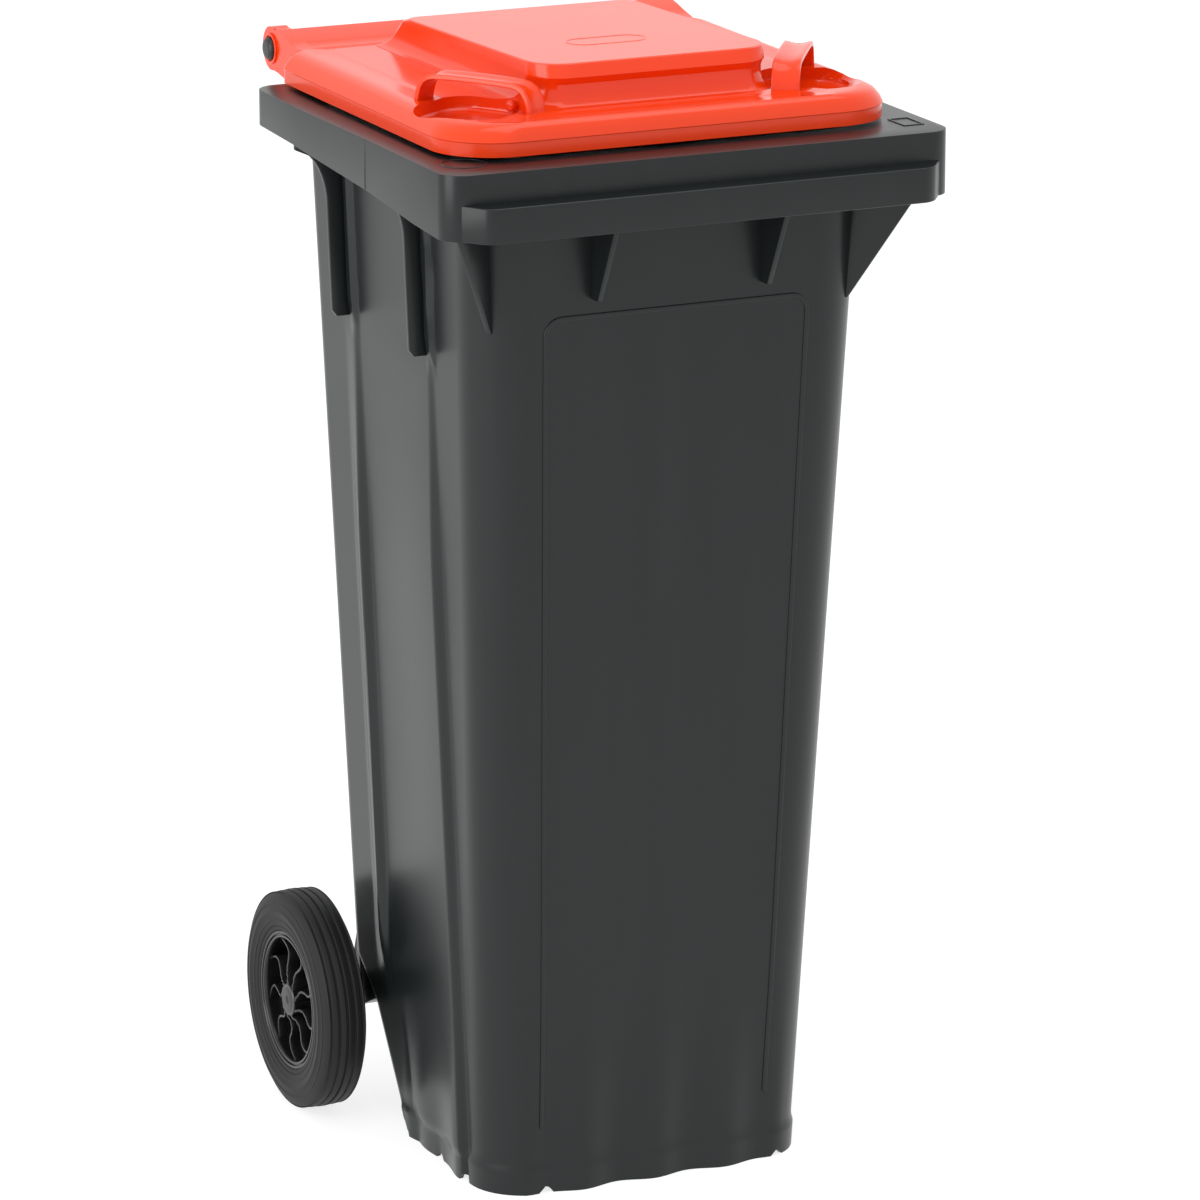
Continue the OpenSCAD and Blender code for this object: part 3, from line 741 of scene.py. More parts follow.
def press(piece):
    """Moves every corner of a piece on the tub's wall by the relief."""
    for vertex in piece.data.vertices:
        co = vertex.co
        z = co.z
        half = at_height(foot_half, top_half, z)
        front = at_height(foot_front, top_front, z)
        if abs(abs(co.x) - half) < 0.6 * mm:
            out = side_relief(co.y, z) + band_relief(z)
            lift = notch_lift(co, "y")
            co.x += math.copysign(out, co.x)
        elif abs(co.y - front) < 4 * mm:
            co.y -= front_relief(co.x, z) + band_relief(z)
            lift = notch_lift(co, "x")
        else:
            middle = Vector((math.copysign(half - front_corner, co.x), front + front_corner))
            ray = Vector((co.x, co.y)) - middle
            share = 1.0 if co.y < middle.y and abs(co.x) > abs(middle.x) else 0.0
            co.x += share * ray.normalized().x * band_relief(z)
            co.y += share * ray.normalized().y * band_relief(z)
            lift = 0.0
        if z < foot_band:
            co.z += lift * (1 - z / foot_band)
    piece.data.update()


press(tub)
outward(tub)
print("pressed", len(tub.data.vertices), "corners")

# %% Floor and thickness
floor_top = 34 * mm
tub_floor = twin(tub, "tub_floor")
trim(tub_floor, (0, 0, floor_top), (0, 0, 1))
trim(tub_floor, (0, 0, foot_band), (0, 0, -1))
pick(tub_floor, "VERT", lambda v: True)
bpy.ops.transform.resize(value=(0.985, 0.985, 1), center_override=(0, (foot_front + foot_back) / 2, 0))
leave()
outward(tub_floor)
modify(tub, "SOLIDIFY", thickness=tub_wall, offset=-1, use_even_offset=True)
for piece in (tub, tub_floor):
    smooth_shade(piece, 28)
    dress(piece, tub_plastic, "body_plastic", "bin", "bin_body")

# %% [markdown]
# ## The rim
# The rim is a flange round the mouth with a skirt that hangs from its edge: deep at the front,
# where a lifting comb reaches in behind it, and shallow at the back. A cube with rounded
# upright edges gives its outline. The skirt's lower edge is moved to its height at four
# stations, and the middle of each side stands a hair proud between two step lines. The inside
# is emptied by giving the shell a thickness, and the mouth is cut out.

# %% Flange and skirt
rim = block("rim", (-rim_half, rim_front, skirt_foot), (rim_half, rim_back, rim_top))
round_edges(rim, upright, 22 * mm, 8)
stations = [(rim_front + 73 * mm, 3 * mm), (rim_front + 183 * mm, 13 * mm), (rim_front + 343 * mm, 22 * mm)]
for y, rise in stations:
    slice_at(rim, (0, y, 0), (0, 1, 0))
for y, rise in stations:
    move(rim, lambda v: near(v.co.z, skirt_foot) and near(v.co.y, y), (0, 0, rise))
move(rim, lambda v: v.co.z < rim_top - 20 * mm and v.co.y > rim_back - 23 * mm, (0, 0, 25 * mm))
step_front = -70 * mm
step_back = 88 * mm
step_run = 0.5 * mm
step_out = 0.4 * mm
for y in (step_front, step_front + step_run, step_back - step_run, step_back):
    pick(rim, "FACE", lambda f: abs(f.normal.x) > 0.9)
    bpy.ops.mesh.bisect(plane_co=(0, y, 0), plane_no=(0, 1, 0))
    leave()
for side in (-1, 1):
    move(rim, lambda v: side * v.co.x > rim_half - 0.1 * mm
         and step_front + 0.3 * mm < v.co.y < step_back - 0.3 * mm, (side * step_out, 0, 0))
remove_faces(rim, lambda f: f.normal.z < -0.5)
modify(rim, "SOLIDIFY", thickness=rim_wall, offset=-1, use_even_offset=True)
combine(rim, mouth_tool, "DIFFERENCE")
soften(rim, 1.6 * mm, 3, 40)
on_tub(rim)

# %% Comb band
band_half = rim_half - 31 * mm
band_root = rim_half - 1.5 * mm
band = block("comb_band", (-band_root, band_front, skirt_foot), (band_root, rim_front + 18 * mm, ledge_z))
move(band, lambda v: v.co.y < rim_front and v.co.x > 0, (band_half - band_root, 0, 0))
move(band, lambda v: v.co.y < rim_front and v.co.x < 0, (band_root - band_half, 0, 0))
round_edges(band, lambda e: upright(e) and e.verts[0].co.y < rim_front, 9 * mm, 5)
move(band, lambda v: v.co.y > rim_front and near(v.co.z, ledge_z), (0, 0, 1.5 * mm))
remove_faces(band, lambda f: f.normal.z < -0.5 or f.normal.y > 0.5)
modify(band, "SOLIDIFY", thickness=rim_wall, offset=-1, use_even_offset=True)
soften(band, 1.3 * mm, 3, 30)
on_tub(band)
print("rim and band done")

# %% Marks on the rim
on_tub(thin_ring("rim_ring_mark", (-204 * mm, rim_front + 48 * mm, rim_top), 19 * mm, 0.7 * mm))
mark_low = Vector((208 * mm, rim_front + 34 * mm, rim_top - 0.5 * mm))
mark_high = Vector((228 * mm, rim_front + 66 * mm, rim_top + 0.7 * mm))
frame_mark = block("rim_frame_mark", mark_low, mark_high)
mark_line = Vector((1.6 * mm, 1.6 * mm, -mm))
mark_tool = block("mark_tool", mark_low + mark_line, mark_high - mark_line)
combine(frame_mark, mark_tool, "DIFFERENCE")
soften(frame_mark, 0.3 * mm, 2, 50)
on_tub(frame_mark)

# %% [markdown]
# ## Ribs and gussets
# Thin upright plates carry the overhanging rim. On each side two ribs run down the wall and
# flare out to the skirt in a round sweep, and at the front four wedges do the same work: two
# point straight forward and two point diagonally out of the corners. Each plate is a thin
# cube with a few rings cut across it, and its free edge is moved ring by ring.

# %% Side ribs
rib_t = 5 * mm
rib_proud = 18 * mm
root_sink = 3 * mm
flare_foot = skirt_foot - 34 * mm


def rib_reach(z):
    """How far the rib's free edge stands from the middle of the bin at height z."""
    low = at_height(foot_half, top_half, z) + rib_proud
    out = rim_half - 3 * mm
    if z < flare_foot:
        return low
    if z > skirt_foot + 16 * mm:
        return out
    share = (z - flare_foot) / (skirt_foot + 16 * mm - flare_foot)
    return low + (out - low) * (1 - math.sqrt(max(0.0, 1 - share ** 2)))


def side_rib(name, y, top):
    """A rib on the right side; its root follows the tub's wall and lies inside it."""
    base = at_height(foot_half, top_half, rib_foot)
    rib = block(name, (base - 9 * mm, y - rib_t / 2, rib_foot), (base + 1 * mm, y + rib_t / 2, top))
    heights = [rib_foot + 6 * mm, flare_foot - 40 * mm]
    heights += [flare_foot + step * (skirt_foot + 16 * mm - flare_foot) / 8 for step in range(9)]
    for z in heights:
        slice_at(rib, (0, 0, z), (0, 0, 1))
    for z in [rib_foot, *heights, top]:
        root = at_height(foot_half, top_half, z) - root_sink
        move(rib, lambda v: near(v.co.z, z, 0.2 * mm) and v.co.x > base, (rib_reach(z) - base - mm, 0, 0))
        move(rib, lambda v: near(v.co.z, z, 0.2 * mm) and v.co.x < base - 5 * mm,
             (root - base + 9 * mm, 0, 0))
    move(rib, lambda v: near(v.co.z, rib_foot, 0.2 * mm) and v.co.x > base, (-4 * mm, 0, 0))
    soften(rib, 0.9 * mm, 2, 50)
    return smooth_shade(rib)


ribs = [side_rib("side_rib_back_right", rib_back_y, rim_top - 25 * mm),
        side_rib("side_rib_front_right", rib_front_y, rim_top - 25 * mm)]
ribs += [mirrored(ribs[0], "side_rib_back_left"), mirrored(ribs[1], "side_rib_front_left")]
for rib in ribs:
    on_tub(rib)

# %% Wedge gussets
def wedge(name, root, reach, foot, top, wall):
    """A wedge plate along +X, from x = root at its foot out to x = reach; wall(z) is the tub's wall."""
    plate = block(name, (root - 12 * mm, -rib_t / 2, foot), (reach, rib_t / 2, rim_top - 8 * mm))
    slice_at(plate, (0, 0, top), (0, 0, 1))
    move(plate, lambda v: near(v.co.z, foot) and v.co.x > root, (root - reach, 0, 0))
    for z in (foot, top, rim_top - 8 * mm):
        shift = wall(z) - root_sink - root + 12 * mm
        move(plate, lambda v: near(v.co.z, z) and v.co.x < root - 5 * mm, (shift, 0, 0))
    soften(plate, 0.8 * mm, 2, 40)
    return plate


def stand(plate, place, angle):
    """Turns a plate about the vertical and carries it to its root's place."""
    plate.matrix_world = Matrix.Translation(place) @ Matrix.Rotation(angle, 4, "Z")
    return smooth_shade(named(plate, plate.name))


gusset_foot = rim_top - 156 * mm
gusset_turn = math.radians(42)


def corner_wall(z):
    """How far the tub's rounded corner reaches from corner_middle, along a corner gusset."""
    lean_x = top_half - at_height(foot_half, top_half, z)
    lean_y = at_height(foot_front, top_front, z) - top_front
    return front_corner - lean_x * math.cos(gusset_turn) - lean_y * math.sin(gusset_turn)


def front_wall(z):
    """How far the tub's front lies from top_front, along a front gusset."""
    return top_front - at_height(foot_front, top_front, z)


corner_middle = Vector((top_half - front_corner, top_front + front_corner, 0))
corner_wedge = wedge("corner_gusset_right", front_corner - 9 * mm, 124 * mm, gusset_foot, rim_top - 28 * mm,
                     corner_wall)
stand(corner_wedge, corner_middle, -gusset_turn)
gussets = [corner_wedge, smooth_shade(mirrored(corner_wedge, "corner_gusset_left"))]
middle_foot = rim_top - 130 * mm
front_reach = rim_wall / 2 + top_front - rim_front - 4 * mm
middle_wedge = wedge("front_gusset_right", 7 * mm, front_reach, middle_foot, skirt_foot, front_wall)
stand(middle_wedge, (81 * mm, top_front, 0), -math.pi / 2)
gussets += [middle_wedge, smooth_shade(mirrored(middle_wedge, "front_gusset_left"))]
for gusset in gussets:
    on_tub(gusset)

# %% [markdown]
# ## Front panel frame
# A thin raised line frames the front panel. It is a flat ring, inset from a plane whose upper
# corners are rounded, raised a little, and then pressed by the same relief as the wall, so
# that it follows the flutes at the foot.

# %% Panel frame
panel_foot = 62 * mm
panel_top = 817 * mm
panel_low_half = 113 * mm
panel_high_half = 128 * mm
bead_w = 4.5 * mm
bead_proud = 1.3 * mm
bpy.ops.object.select_all(action="DESELECT")
bpy.ops.mesh.primitive_plane_add(size=1, location=(0, 0, (panel_foot + panel_top) / 2),
                                 rotation=(math.pi / 2, 0, 0))
bead = bpy.context.object
bead.scale = (2 * panel_high_half, panel_top - panel_foot, 1)
named(bead, "panel_frame")
move(bead, lambda v: v.co.z < 0.3 and v.co.x > 0, (panel_low_half - panel_high_half, 0, 0))
move(bead, lambda v: v.co.z < 0.3 and v.co.x < 0, (panel_high_half - panel_low_half, 0, 0))
pick(bead, "VERT", lambda v: v.co.z > 0.5)
bpy.ops.mesh.bevel(offset=18 * mm, segments=8, affect="VERTICES")
leave()
pick(bead, "FACE", lambda f: True)
bpy.ops.mesh.inset(thickness=bead_w, use_select_inset=False)
bpy.ops.mesh.delete(type="FACE")
leave()
remove_faces(bead, lambda f: f.calc_center_median().z < panel_foot + bead_w)
split_edges(bead, lambda e: upright(e) and e.calc_length() > 0.5, 90)
for vertex in bead.data.vertices:
    z = vertex.co.z
    vertex.co.y = at_height(foot_front, top_front, z) - front_relief(vertex.co.x, z) + 1.0 * mm
outward(bead)
modify(bead, "SOLIDIFY", thickness=2 * (bead_proud + mm), offset=0)
soften(bead, 0.9 * mm, 2, 50)
on_tub(bead, 50)

# %% [markdown]
# ## Handle bar and its arms
# Behind the rim, three arms carry the bar that a person pulls the bin by. The lid hangs on
# the same bar: its ends are hollow, and the hinge pins are pushed into them. The bar is a
# cylinder whose end faces are inset and pushed in.

# %% Handle bar
bar_r = 13.5 * mm
bar_half = 181 * mm
pin_r = 6 * mm
bar = rod("handle_bar", bar_r, -bar_half, bar_half, hinge.y, hinge.z, 64)
for facing in (-1, 1):
    pick(bar, "FACE", lambda f: f.normal.x * facing > 0.9)
    bpy.ops.mesh.inset(thickness=bar_r - pin_r - 0.1 * mm)
    extrude((-27 * mm * facing, 0, 0))
    leave()
soften(bar, 1.2 * mm, 3, 40)
on_tub(bar)

# %% Arms
arm_w = 18 * mm


def handle_arm(name, x):
    """A slanting arm from the rim's back edge to the bar."""
    arm = block(name, (x - arm_w / 2, rim_back - 3 * mm, rim_top - 30 * mm),
                (x + arm_w / 2, hinge.y - 4 * mm, rim_top - 2 * mm))
    knee = rim_back + 26 * mm
    slice_at(arm, (0, knee, 0), (0, 1, 0))
    for y, low, high in ((knee, hinge.z - 20 * mm, hinge.z - 3.5 * mm),
                         (hinge.y - 4 * mm, hinge.z - 8 * mm, hinge.z + 5 * mm)):
        move(arm, lambda v: near(v.co.y, y) and v.co.z < rim_top - 16 * mm, (0, 0, low - rim_top + 30 * mm))
        move(arm, lambda v: near(v.co.y, y) and near(v.co.z, rim_top - 2 * mm),
             (0, 0, high - rim_top + 2 * mm))
    soften(arm, 2 * mm, 3, 40)
    return on_tub(arm)


arm_x = bar_half - arm_w / 2
for name, x in (("handle_arm_left", -arm_x), ("handle_arm_middle", 0), ("handle_arm_right", arm_x)):
    handle_arm(name, x)

# %% [markdown]
# ## Axle saddles
# Under the wheel arch the tub has two saddles. The axle is pushed up into them from below
# and snaps past the narrower throat. Each saddle is a block that leans back to the arch,
# with the bore and the throat cut through it.

# %% Saddles
saddle_out = at_height(foot_half, top_half, axle.z) - 2 * mm
saddle_in = saddle_out - 40 * mm
axle_r = 10 * mm


def axle_saddle(name, x0, x1):
    """A block under the arch from x0 to x1, with the axle's bore and the throat below it."""
    saddle = block(name, (x0, axle.y - 19 * mm, axle.z - 8 * mm), (x1, axle.y + 15 * mm, axle.z + 5 * mm))
    pick(saddle, "FACE", lambda f: f.normal.z > 0.9)
    extrude((0, 0, 60 * mm))
    leave()
    front = arch_back - 8 * mm
    back = arch_back - 1 * mm
    move(saddle, lambda v: v.co.z > axle.z + 30 * mm and v.co.y < axle.y, (0, front - axle.y + 19 * mm, 0))
    move(saddle, lambda v: v.co.z > axle.z + 30 * mm and v.co.y > axle.y, (0, back - axle.y - 15 * mm, 0))
    pick(saddle, "FACE", lambda f: f.normal.y < -0.5 and f.calc_center_median().z < axle.z + 5 * mm)
    extrude((0, bend_back - axle.y + 17 * mm, 14 * mm))
    leave()
    middle = (x0 + x1) / 2
    bore = rod("bore_tool", axle_r + 0.1 * mm, middle - 40 * mm, middle + 40 * mm, axle.y, axle.z)
    combine(saddle, bore, "DIFFERENCE")
    half_throat = 0.85 * axle_r
    throat = block("throat_tool", (x0 - mm, axle.y - half_throat, axle.z - 30 * mm),
                   (x1 + mm, axle.y + half_throat, axle.z))
    combine(saddle, throat, "DIFFERENCE")
    soften(saddle, 0.8 * mm, 2, 50)
    return on_tub(saddle)


axle_saddle("axle_saddle_right", saddle_in, saddle_out)
axle_saddle("axle_saddle_left", -saddle_out, -saddle_in)

# %% [markdown]
# ## The lid's shell
# The lid is one moulding: a skirt with a fine line above its edge, soft rounded shoulders, a
# shallow ridge, a flat deck and a raised crown. Both forms start as cubes. Each step of the
# lid's form extrudes the top face and draws it in; the crown has its rings moved into a lip at
# the front and a cove at the foot. The same two forms, made again a wall thinner, empty it.

# %% Lid sizes
lid_wall = 3.5 * mm
lid_foot = rim_top + 3 * mm
deck = lid_foot + 27 * mm
lid_half = rim_half - 27 * mm
lid_front = rim_front + 42 * mm
lid_back = rim_back
crown_front = lid_front + 49 * mm
crown_top = lid_high.z
lid_middle = (lid_front + lid_back) / 2
skirt_h = 10.5 * mm
lid_steps = [(1.8, 1.8, 0.6, 10.6), (1.8, 1.8, 0.6, 11.9), (1.2, 1.2, 0.5, 12.7), (3.6, 3.0, 0.8, 18),
             (8, 5.4, 1.2, 23.3), (13, 7.6, 1.8, 25.9), (20, 11, 2.6, 27.7), (28, 17, 4, 28.3),
             (36, 25, 6, 27.8), (46, 34, 9, 27)]
print("lid", round(2 * lid_half, 3), "wide, deck at", round(deck, 3))


# %% Lid form
def lid_form(name, t):
    """The lid's solid form, t inside its face; a step insets side, front and back at a height."""
    drop = 3 * mm if t else 0
    form = block(name, (-lid_half + t, lid_front + t, lid_foot - drop),
                 (lid_half - t, lid_back - t, lid_foot + skirt_h - t))
    round_edges(form, lambda e: upright(e) and e.verts[0].co.y < 0, 58 * mm - t, 12)
    round_edges(form, lambda e: upright(e) and e.verts[0].co.y > lid_back - t - mm, 14 * mm - t, 5)
    half, front, back, height = lid_half - t, lid_front + t, lid_back - t, skirt_h
    for side_in, front_in, back_in, rise in lid_steps:
        new_half = lid_half - t - side_in * mm
        new_front = lid_front + t + front_in * mm
        new_back = lid_back - t - back_in * mm
        pick(form, "FACE", lambda f: f.normal.z > 0.9
             and near(f.calc_center_median().z, lid_foot + height - t))
        extrude((0, 0, rise * mm - height))
        bpy.ops.transform.resize(value=(new_half / half, (new_back - new_front) / (back - front), 1),
                                 center_override=(0, (front + back) / 2, 0))
        bpy.ops.transform.translate(value=(0, (new_front + new_back - front - back) / 2, 0))
        leave()
        half, front, back, height = new_half, new_front, new_back, rise * mm
    return form


print("lid form with", len(lid_steps), "steps")

# %% Crown form
crown_rings = [(-6, 13, 4), (0.3, 12, 3), (1.4, 7, 1.6), (3.6, 3.4, 0.4), (7, 1.2, -1.2), (13, 0.4, -2.4),
               (19, 0.2, -2), (24.6, 0.4, 2), (25.6, 0.5, 3.6), (27, 0.5, 3.6), (37, 0.4, 1),
               (38, -0.8, -0.4)]


def crown_form(name, t):
    """The crown's solid form, t inside its face; a ring spreads sideways and forward at a height."""
    half, front, back = 112 * mm - t, crown_front + 6 * mm + t, lid_back - 50 * mm - t
    low = deck - 6 * mm - (4 * mm if t else 0)
    form = block(name, (-half, front, low), (half, back, crown_top - t))
    for rise, side, forward in crown_rings[1:-1]:
        slice_at(form, (0, 0, deck + rise * mm - t), (0, 0, 1))
    round_edges(form, lambda e: upright(e) and e.verts[0].co.y < 0, 30 * mm - t, 10)
    round_edges(form, lambda e: upright(e) and e.verts[0].co.y > 50 * mm, 12 * mm, 4)
    for rise, side, forward in crown_rings:
        height = low if rise < 0 else deck + rise * mm - t
        behind = 47 * mm * (1 - max(rise, 0) / 38)
        fall = 7 * mm if rise > 36 else 0
        move(form, lambda v: near(v.co.z, height, 0.05 * mm) and v.co.x > 0, (side * mm, 0, 0))
        move(form, lambda v: near(v.co.z, height, 0.05 * mm) and v.co.x < 0, (-side * mm, 0, 0))
        move(form, lambda v: near(v.co.z, height, 0.05 * mm) and v.co.y < 0, (0, -forward * mm, 0))
        move(form, lambda v: near(v.co.z, height, 0.05 * mm) and v.co.y > 0, (0, behind, -fall))
    return form


print("forms ready")

# %% [markdown]
# ## Strip, lugs and scoops
# A strip climbs from the back of the deck to the height of the hinge, and ends in a round lug
# with a tail at each side. Each front corner has a scoop for the fingers: a tool with rounded
# edges is cut from the shell, after a slightly larger one has lined it with walls. Everything
# is joined into one moulding before the pin bores are cut.

# %% Strip and lugs
lug_r = 20 * mm
lug_t = 15 * mm
lug_x = bar_half + 0.3 * mm
strip_half = lug_x + lug_t


def side_slab(name, corners, x0, x1):
    """A flat slab whose side outline is the (y, z) corners, from x0 to x1."""
    slab = loop(name, [(x0, y, z) for y, z in corners])
    bpy.ops.mesh.edge_face_add()
    extrude((x1 - x0, 0, 0))
    leave()
    return outward(slab)


strip_high = hinge.z + lug_r - mm
strip_y = hinge.y - 14 * mm
strip_edge = [(strip_y, strip_high), (lid_back + 30 * mm, strip_high - 3 * mm),
              (lid_back + 16 * mm, deck + 3.5 * mm)]
strip_outline = [(lid_back - 10 * mm, deck - lid_wall), (lid_back + 10 * mm, deck - lid_wall),
                 (strip_y, strip_high - 4.5 * mm), *strip_edge, (lid_back + 9 * mm, deck + 1.2 * mm),
                 (lid_back - 4 * mm, deck), (lid_back - 10 * mm, deck - mm)]
strip = side_slab("back_strip", strip_outline, -strip_half + 2 * mm, strip_half - 2 * mm)
tail_outline = [(lid_back - 6 * mm, lid_foot + 6 * mm), (lid_back + 16 * mm, lid_foot - 7 * mm),
                (hinge.y - 16 * mm, hinge.z - 20 * mm), (hinge.y, hinge.z - lug_r + mm),
                (hinge.y, hinge.z + lug_r - mm), *strip_edge, (lid_back - 6 * mm, deck - mm)]


def lid_lug(name):
    """Right lug: a disc with a tail down the lid's back corner."""
    lug = rod(name, lug_r, lug_x, lug_x + lug_t, hinge.y, hinge.z)
    return combine(lug, side_slab("lug_tail", tail_outline, lug_x, lug_x + lug_t), "UNION")


lug = lid_lug("lug")
print("strip and lugs reach", round(strip_half, 3), "to each side")

# %% Scoop tools
grip_place = Vector((150.5 * mm, lid_front + 94 * mm, deck))
grip_turn = math.radians(180 + 57)


def place_grip(piece):
    """Turns a piece of the right grip from its own frame into the lid's corner."""
    piece.matrix_world = Matrix.Translation(grip_place) @ Matrix.Rotation(grip_turn, 4, "Z")
    return named(piece, piece.name)


def scoop_tool(name, t):
    """Solid of the right scoop, t larger than its hollow, in its place at the front corner."""
    tool = block(name, (-46 * mm - t, -32 * mm - t, -13 * mm - t), (46 * mm + t, 48 * mm + t, 14 * mm))
    round_edges(tool, lambda e: upright(e) and e.verts[0].co.y < 0, 26 * mm + t, 8)
    round_edges(tool, lambda e: upright(e) and e.verts[0].co.y > 20 * mm, 30 * mm + t, 8)
    round_edges(tool, lambda e: max(v.co.z for v in e.verts) < -12 * mm - t, 5 * mm, 3)
    move(tool, lambda v: v.co.z > 0 and v.co.y > 0, (0, 36 * mm, 0))
    return outward(place_grip(tool))


def scoop_pair(name, t, within=None):
    """Both scoops' solids; the left one is cut to the form within, and then mirrored."""
    right = scoop_tool(name, t)
    left = mirrored(right, name + "_left")
    bpy.data.objects.remove(right)
    if within:
        combine(left, within, "INTERSECT")
    return left, mirrored(left, name + "_right")


print("scoops turned", round(math.degrees(grip_turn)), "degrees")

# %% Shell
shell = lid_form("lid_shell", 0)
combine(shell, crown_form("crown_tool", 0), "UNION")
hollow = lid_form("hollow_tool", lid_wall)
combine(hollow, crown_form("crown_tool", lid_wall), "UNION")
linings = scoop_pair("lining", lid_wall, twin(shell, "form_tool"))
combine(shell, hollow, "DIFFERENCE")
for lining in linings:
    combine(shell, lining, "UNION")
left_lug = mirrored(lug, "lug_left")
for part in (strip, lug, left_lug):
    combine(shell, part, "UNION")
for scoop in scoop_pair("scoop", 0):
    combine(shell, scoop, "DIFFERENCE")
for side in (-1, 1):
    reach = sorted((side * (lug_x - mm), side * (lug_x + lug_t + mm)))
    combine(shell, rod("bore_tool", 6.25 * mm, *reach, hinge.y, hinge.z), "DIFFERENCE")
smooth_shade(shell, 30)
modify(shell, "WEIGHTED_NORMAL", keep_sharp=True, weight=90)
dress(shell, lid_plastic, "lid_plastic", "lid", "lid")

# %% [markdown]
# ## Grips and marks
# Each grip is a bent strip over its scoop. An edge is extruded along the arch, the strip is
# divided across so that its middle sinks into a channel, and it is thickened last. Its twin is
# mirrored. A plain capsule outline and a small oval in each scoop are raised marks.

# %% Grips
half_arch = [(-58, -3), (-56.5, 6), (-54.5, 13), (-51, 18.5), (-46, 21.6), (-39, 23), (-20, 23.6)]
arch = half_arch + [(0, 23.8)] + [(-x, z) for x, z in half_arch[::-1]]
grip_w = 25 * mm
bpy.ops.object.select_all(action="DESELECT")
bpy.ops.mesh.primitive_plane_add(size=grip_w, location=(arch[0][0] * mm, 0, arch[0][1] * mm))
grip = named(bpy.context.object, "lid_grip")
pick(grip, "VERT", lambda v: v.co.x > arch[0][0] * mm)
bpy.ops.mesh.delete(type="VERT")
leave()
pick(grip, "VERT", lambda v: True)
bpy.ops.transform.translate(value=(grip_w / 2, 0, 0))
for (x1, z1), (x2, z2) in zip(arch, arch[1:]):
    extrude(((x2 - x1) * mm, 0, (z2 - z1) * mm))
leave()
split_edges(grip, lambda e: abs(e.verts[0].co.y - e.verts[1].co.y) > 20 * mm, 7)
for reach, sink in ((10, 0.5), (7, 0.9), (4, 0.7)):
    move(grip, lambda v: abs(v.co.y) < reach * mm and v.co.z > 4 * mm, (0, 0, -sink * mm))
outward(grip)
modify(grip, "SOLIDIFY", thickness=4.4 * mm, offset=0, use_even_offset=True)
soften(grip, 0.9 * mm, 3, 50)
place_grip(grip)
print("grip", len(grip.data.polygons), "faces")

# %% Boss and oval mark
boss = rod("grip_boss", 5 * mm, -4 * mm, 4 * mm, 0, 0, 24)
round_edges(boss, lambda e: min(v.co.x for v in e.verts) > 3 * mm, 2.5 * mm, 4)
boss.matrix_world = Matrix.Translation((14 * mm, -29 * mm, -4 * mm)) @ Matrix.Rotation(math.pi / 2, 4, "Z")
named(boss, "grip_boss")
place_grip(boss)
oval_place = (20 * mm, 12 * mm, -13 * mm)
oval = thin_ring("scoop_mark", oval_place, 9 * mm, 0.6 * mm, 40)
pick(oval, "VERT", lambda v: True)
bpy.ops.transform.resize(value=(1, 0.62, 1), center_override=oval_place)
leave()
place_grip(oval)
for piece in (grip, boss, oval):
    dress_pair(piece, lid_plastic, "lid_plastic", "lid")

# %% Capsule outline on the crown
capsule_place = (-4 * mm, -55 * mm, crown_top - 2.5 * mm)
capsule = thin_ring("crown_capsule", capsule_place, 17 * mm, 0.55 * mm)
for side in (-1, 1):
    move(capsule, lambda v: side * (v.co.x + 4 * mm) > 0.5 * mm, (side * 20 * mm, 0, 0))
pick(capsule, "VERT", lambda v: True)
bpy.ops.transform.rotate(value=math.radians(1.4), orient_axis="X", center_override=capsule_place)
leave()
smooth_shade(capsule, 34)
dress(capsule, lid_plastic, "lid_plastic", "lid")

# %% [markdown]
# ## Wheels
# Tyre, wheel and cap are solids of revolution: a chain of corners is extruded into the outline
# in the plane above the axle and spun once round it. The curved spokes start as a chain of
# corners too, pulled out along the axle and thickened. One wheel is modelled, on the right, and
# mirrored for the left.

# %% Spun outlines
wheel_in = tyre_low.x / mm
wheel_out = tyre_high.x / mm


def turned(name, outline, steps=96):
    """A closed outline of (radius, x) corners in millimetres, spun about the axle."""
    corners = [Vector((x * mm, axle.y, axle.z + r * mm)) for r, x in outline]
    piece = loop(name, corners)
    bpy.ops.mesh.spin(steps=steps, angle=2 * math.pi, center=axle, axis=(1, 0, 0))
    leave()
    return outward(piece)


def wheel_x(points, inwards=False):
    """Outline corners whose x is the depth below the wheel's outer face, or above its inner face."""
    return [(r, wheel_in + depth if inwards else wheel_out - depth) for r, depth in points]


print("wheels from", round(wheel_in, 2), "to", round(wheel_out, 2), "mm")


# %% Tyre
sidewall = [(65.1, 8), (65.1, 4), (66.2, 3.1), (68.5, 2.9), (69.0, 3.3), (69.8, 3.3), (70.2, 2.5),
            (74.5, 1.5), (75.0, 0.9), (76.0, 0.9), (76.5, 1.2), (82, 0.3), (82.5, 0.0), (83.5, 0.0),
            (84, 0.4), (90, 1.1), (90.4, 0.7), (91.4, 0.8), (91.8, 1.4), (95.5, 2.2), (98.6, 4.0),
            (100.6, 6.0)]
tread = []
for groove in range(5):
    x = wheel_in + 7 + groove * 7.75
    crown = 102.4 - 0.9 * abs(groove - 2) / 2
    tread += [(crown - 0.35, x - 1.8), (crown - 0.7, x - 1.2), (100.3, x - 0.8),
              (100.3, x + 0.8), (crown - 0.7, x + 1.2), (crown - 0.35, x + 1.8)]
outline = [(62.1, wheel_in + 10), *wheel_x(sidewall, True), *tread, *wheel_x(sidewall[::-1]),
           (62.1, wheel_out - 10)]
tyre = turned("tyre_right_rubber", outline, 128)
print("tyre", len(tyre.data.polygons), "faces")

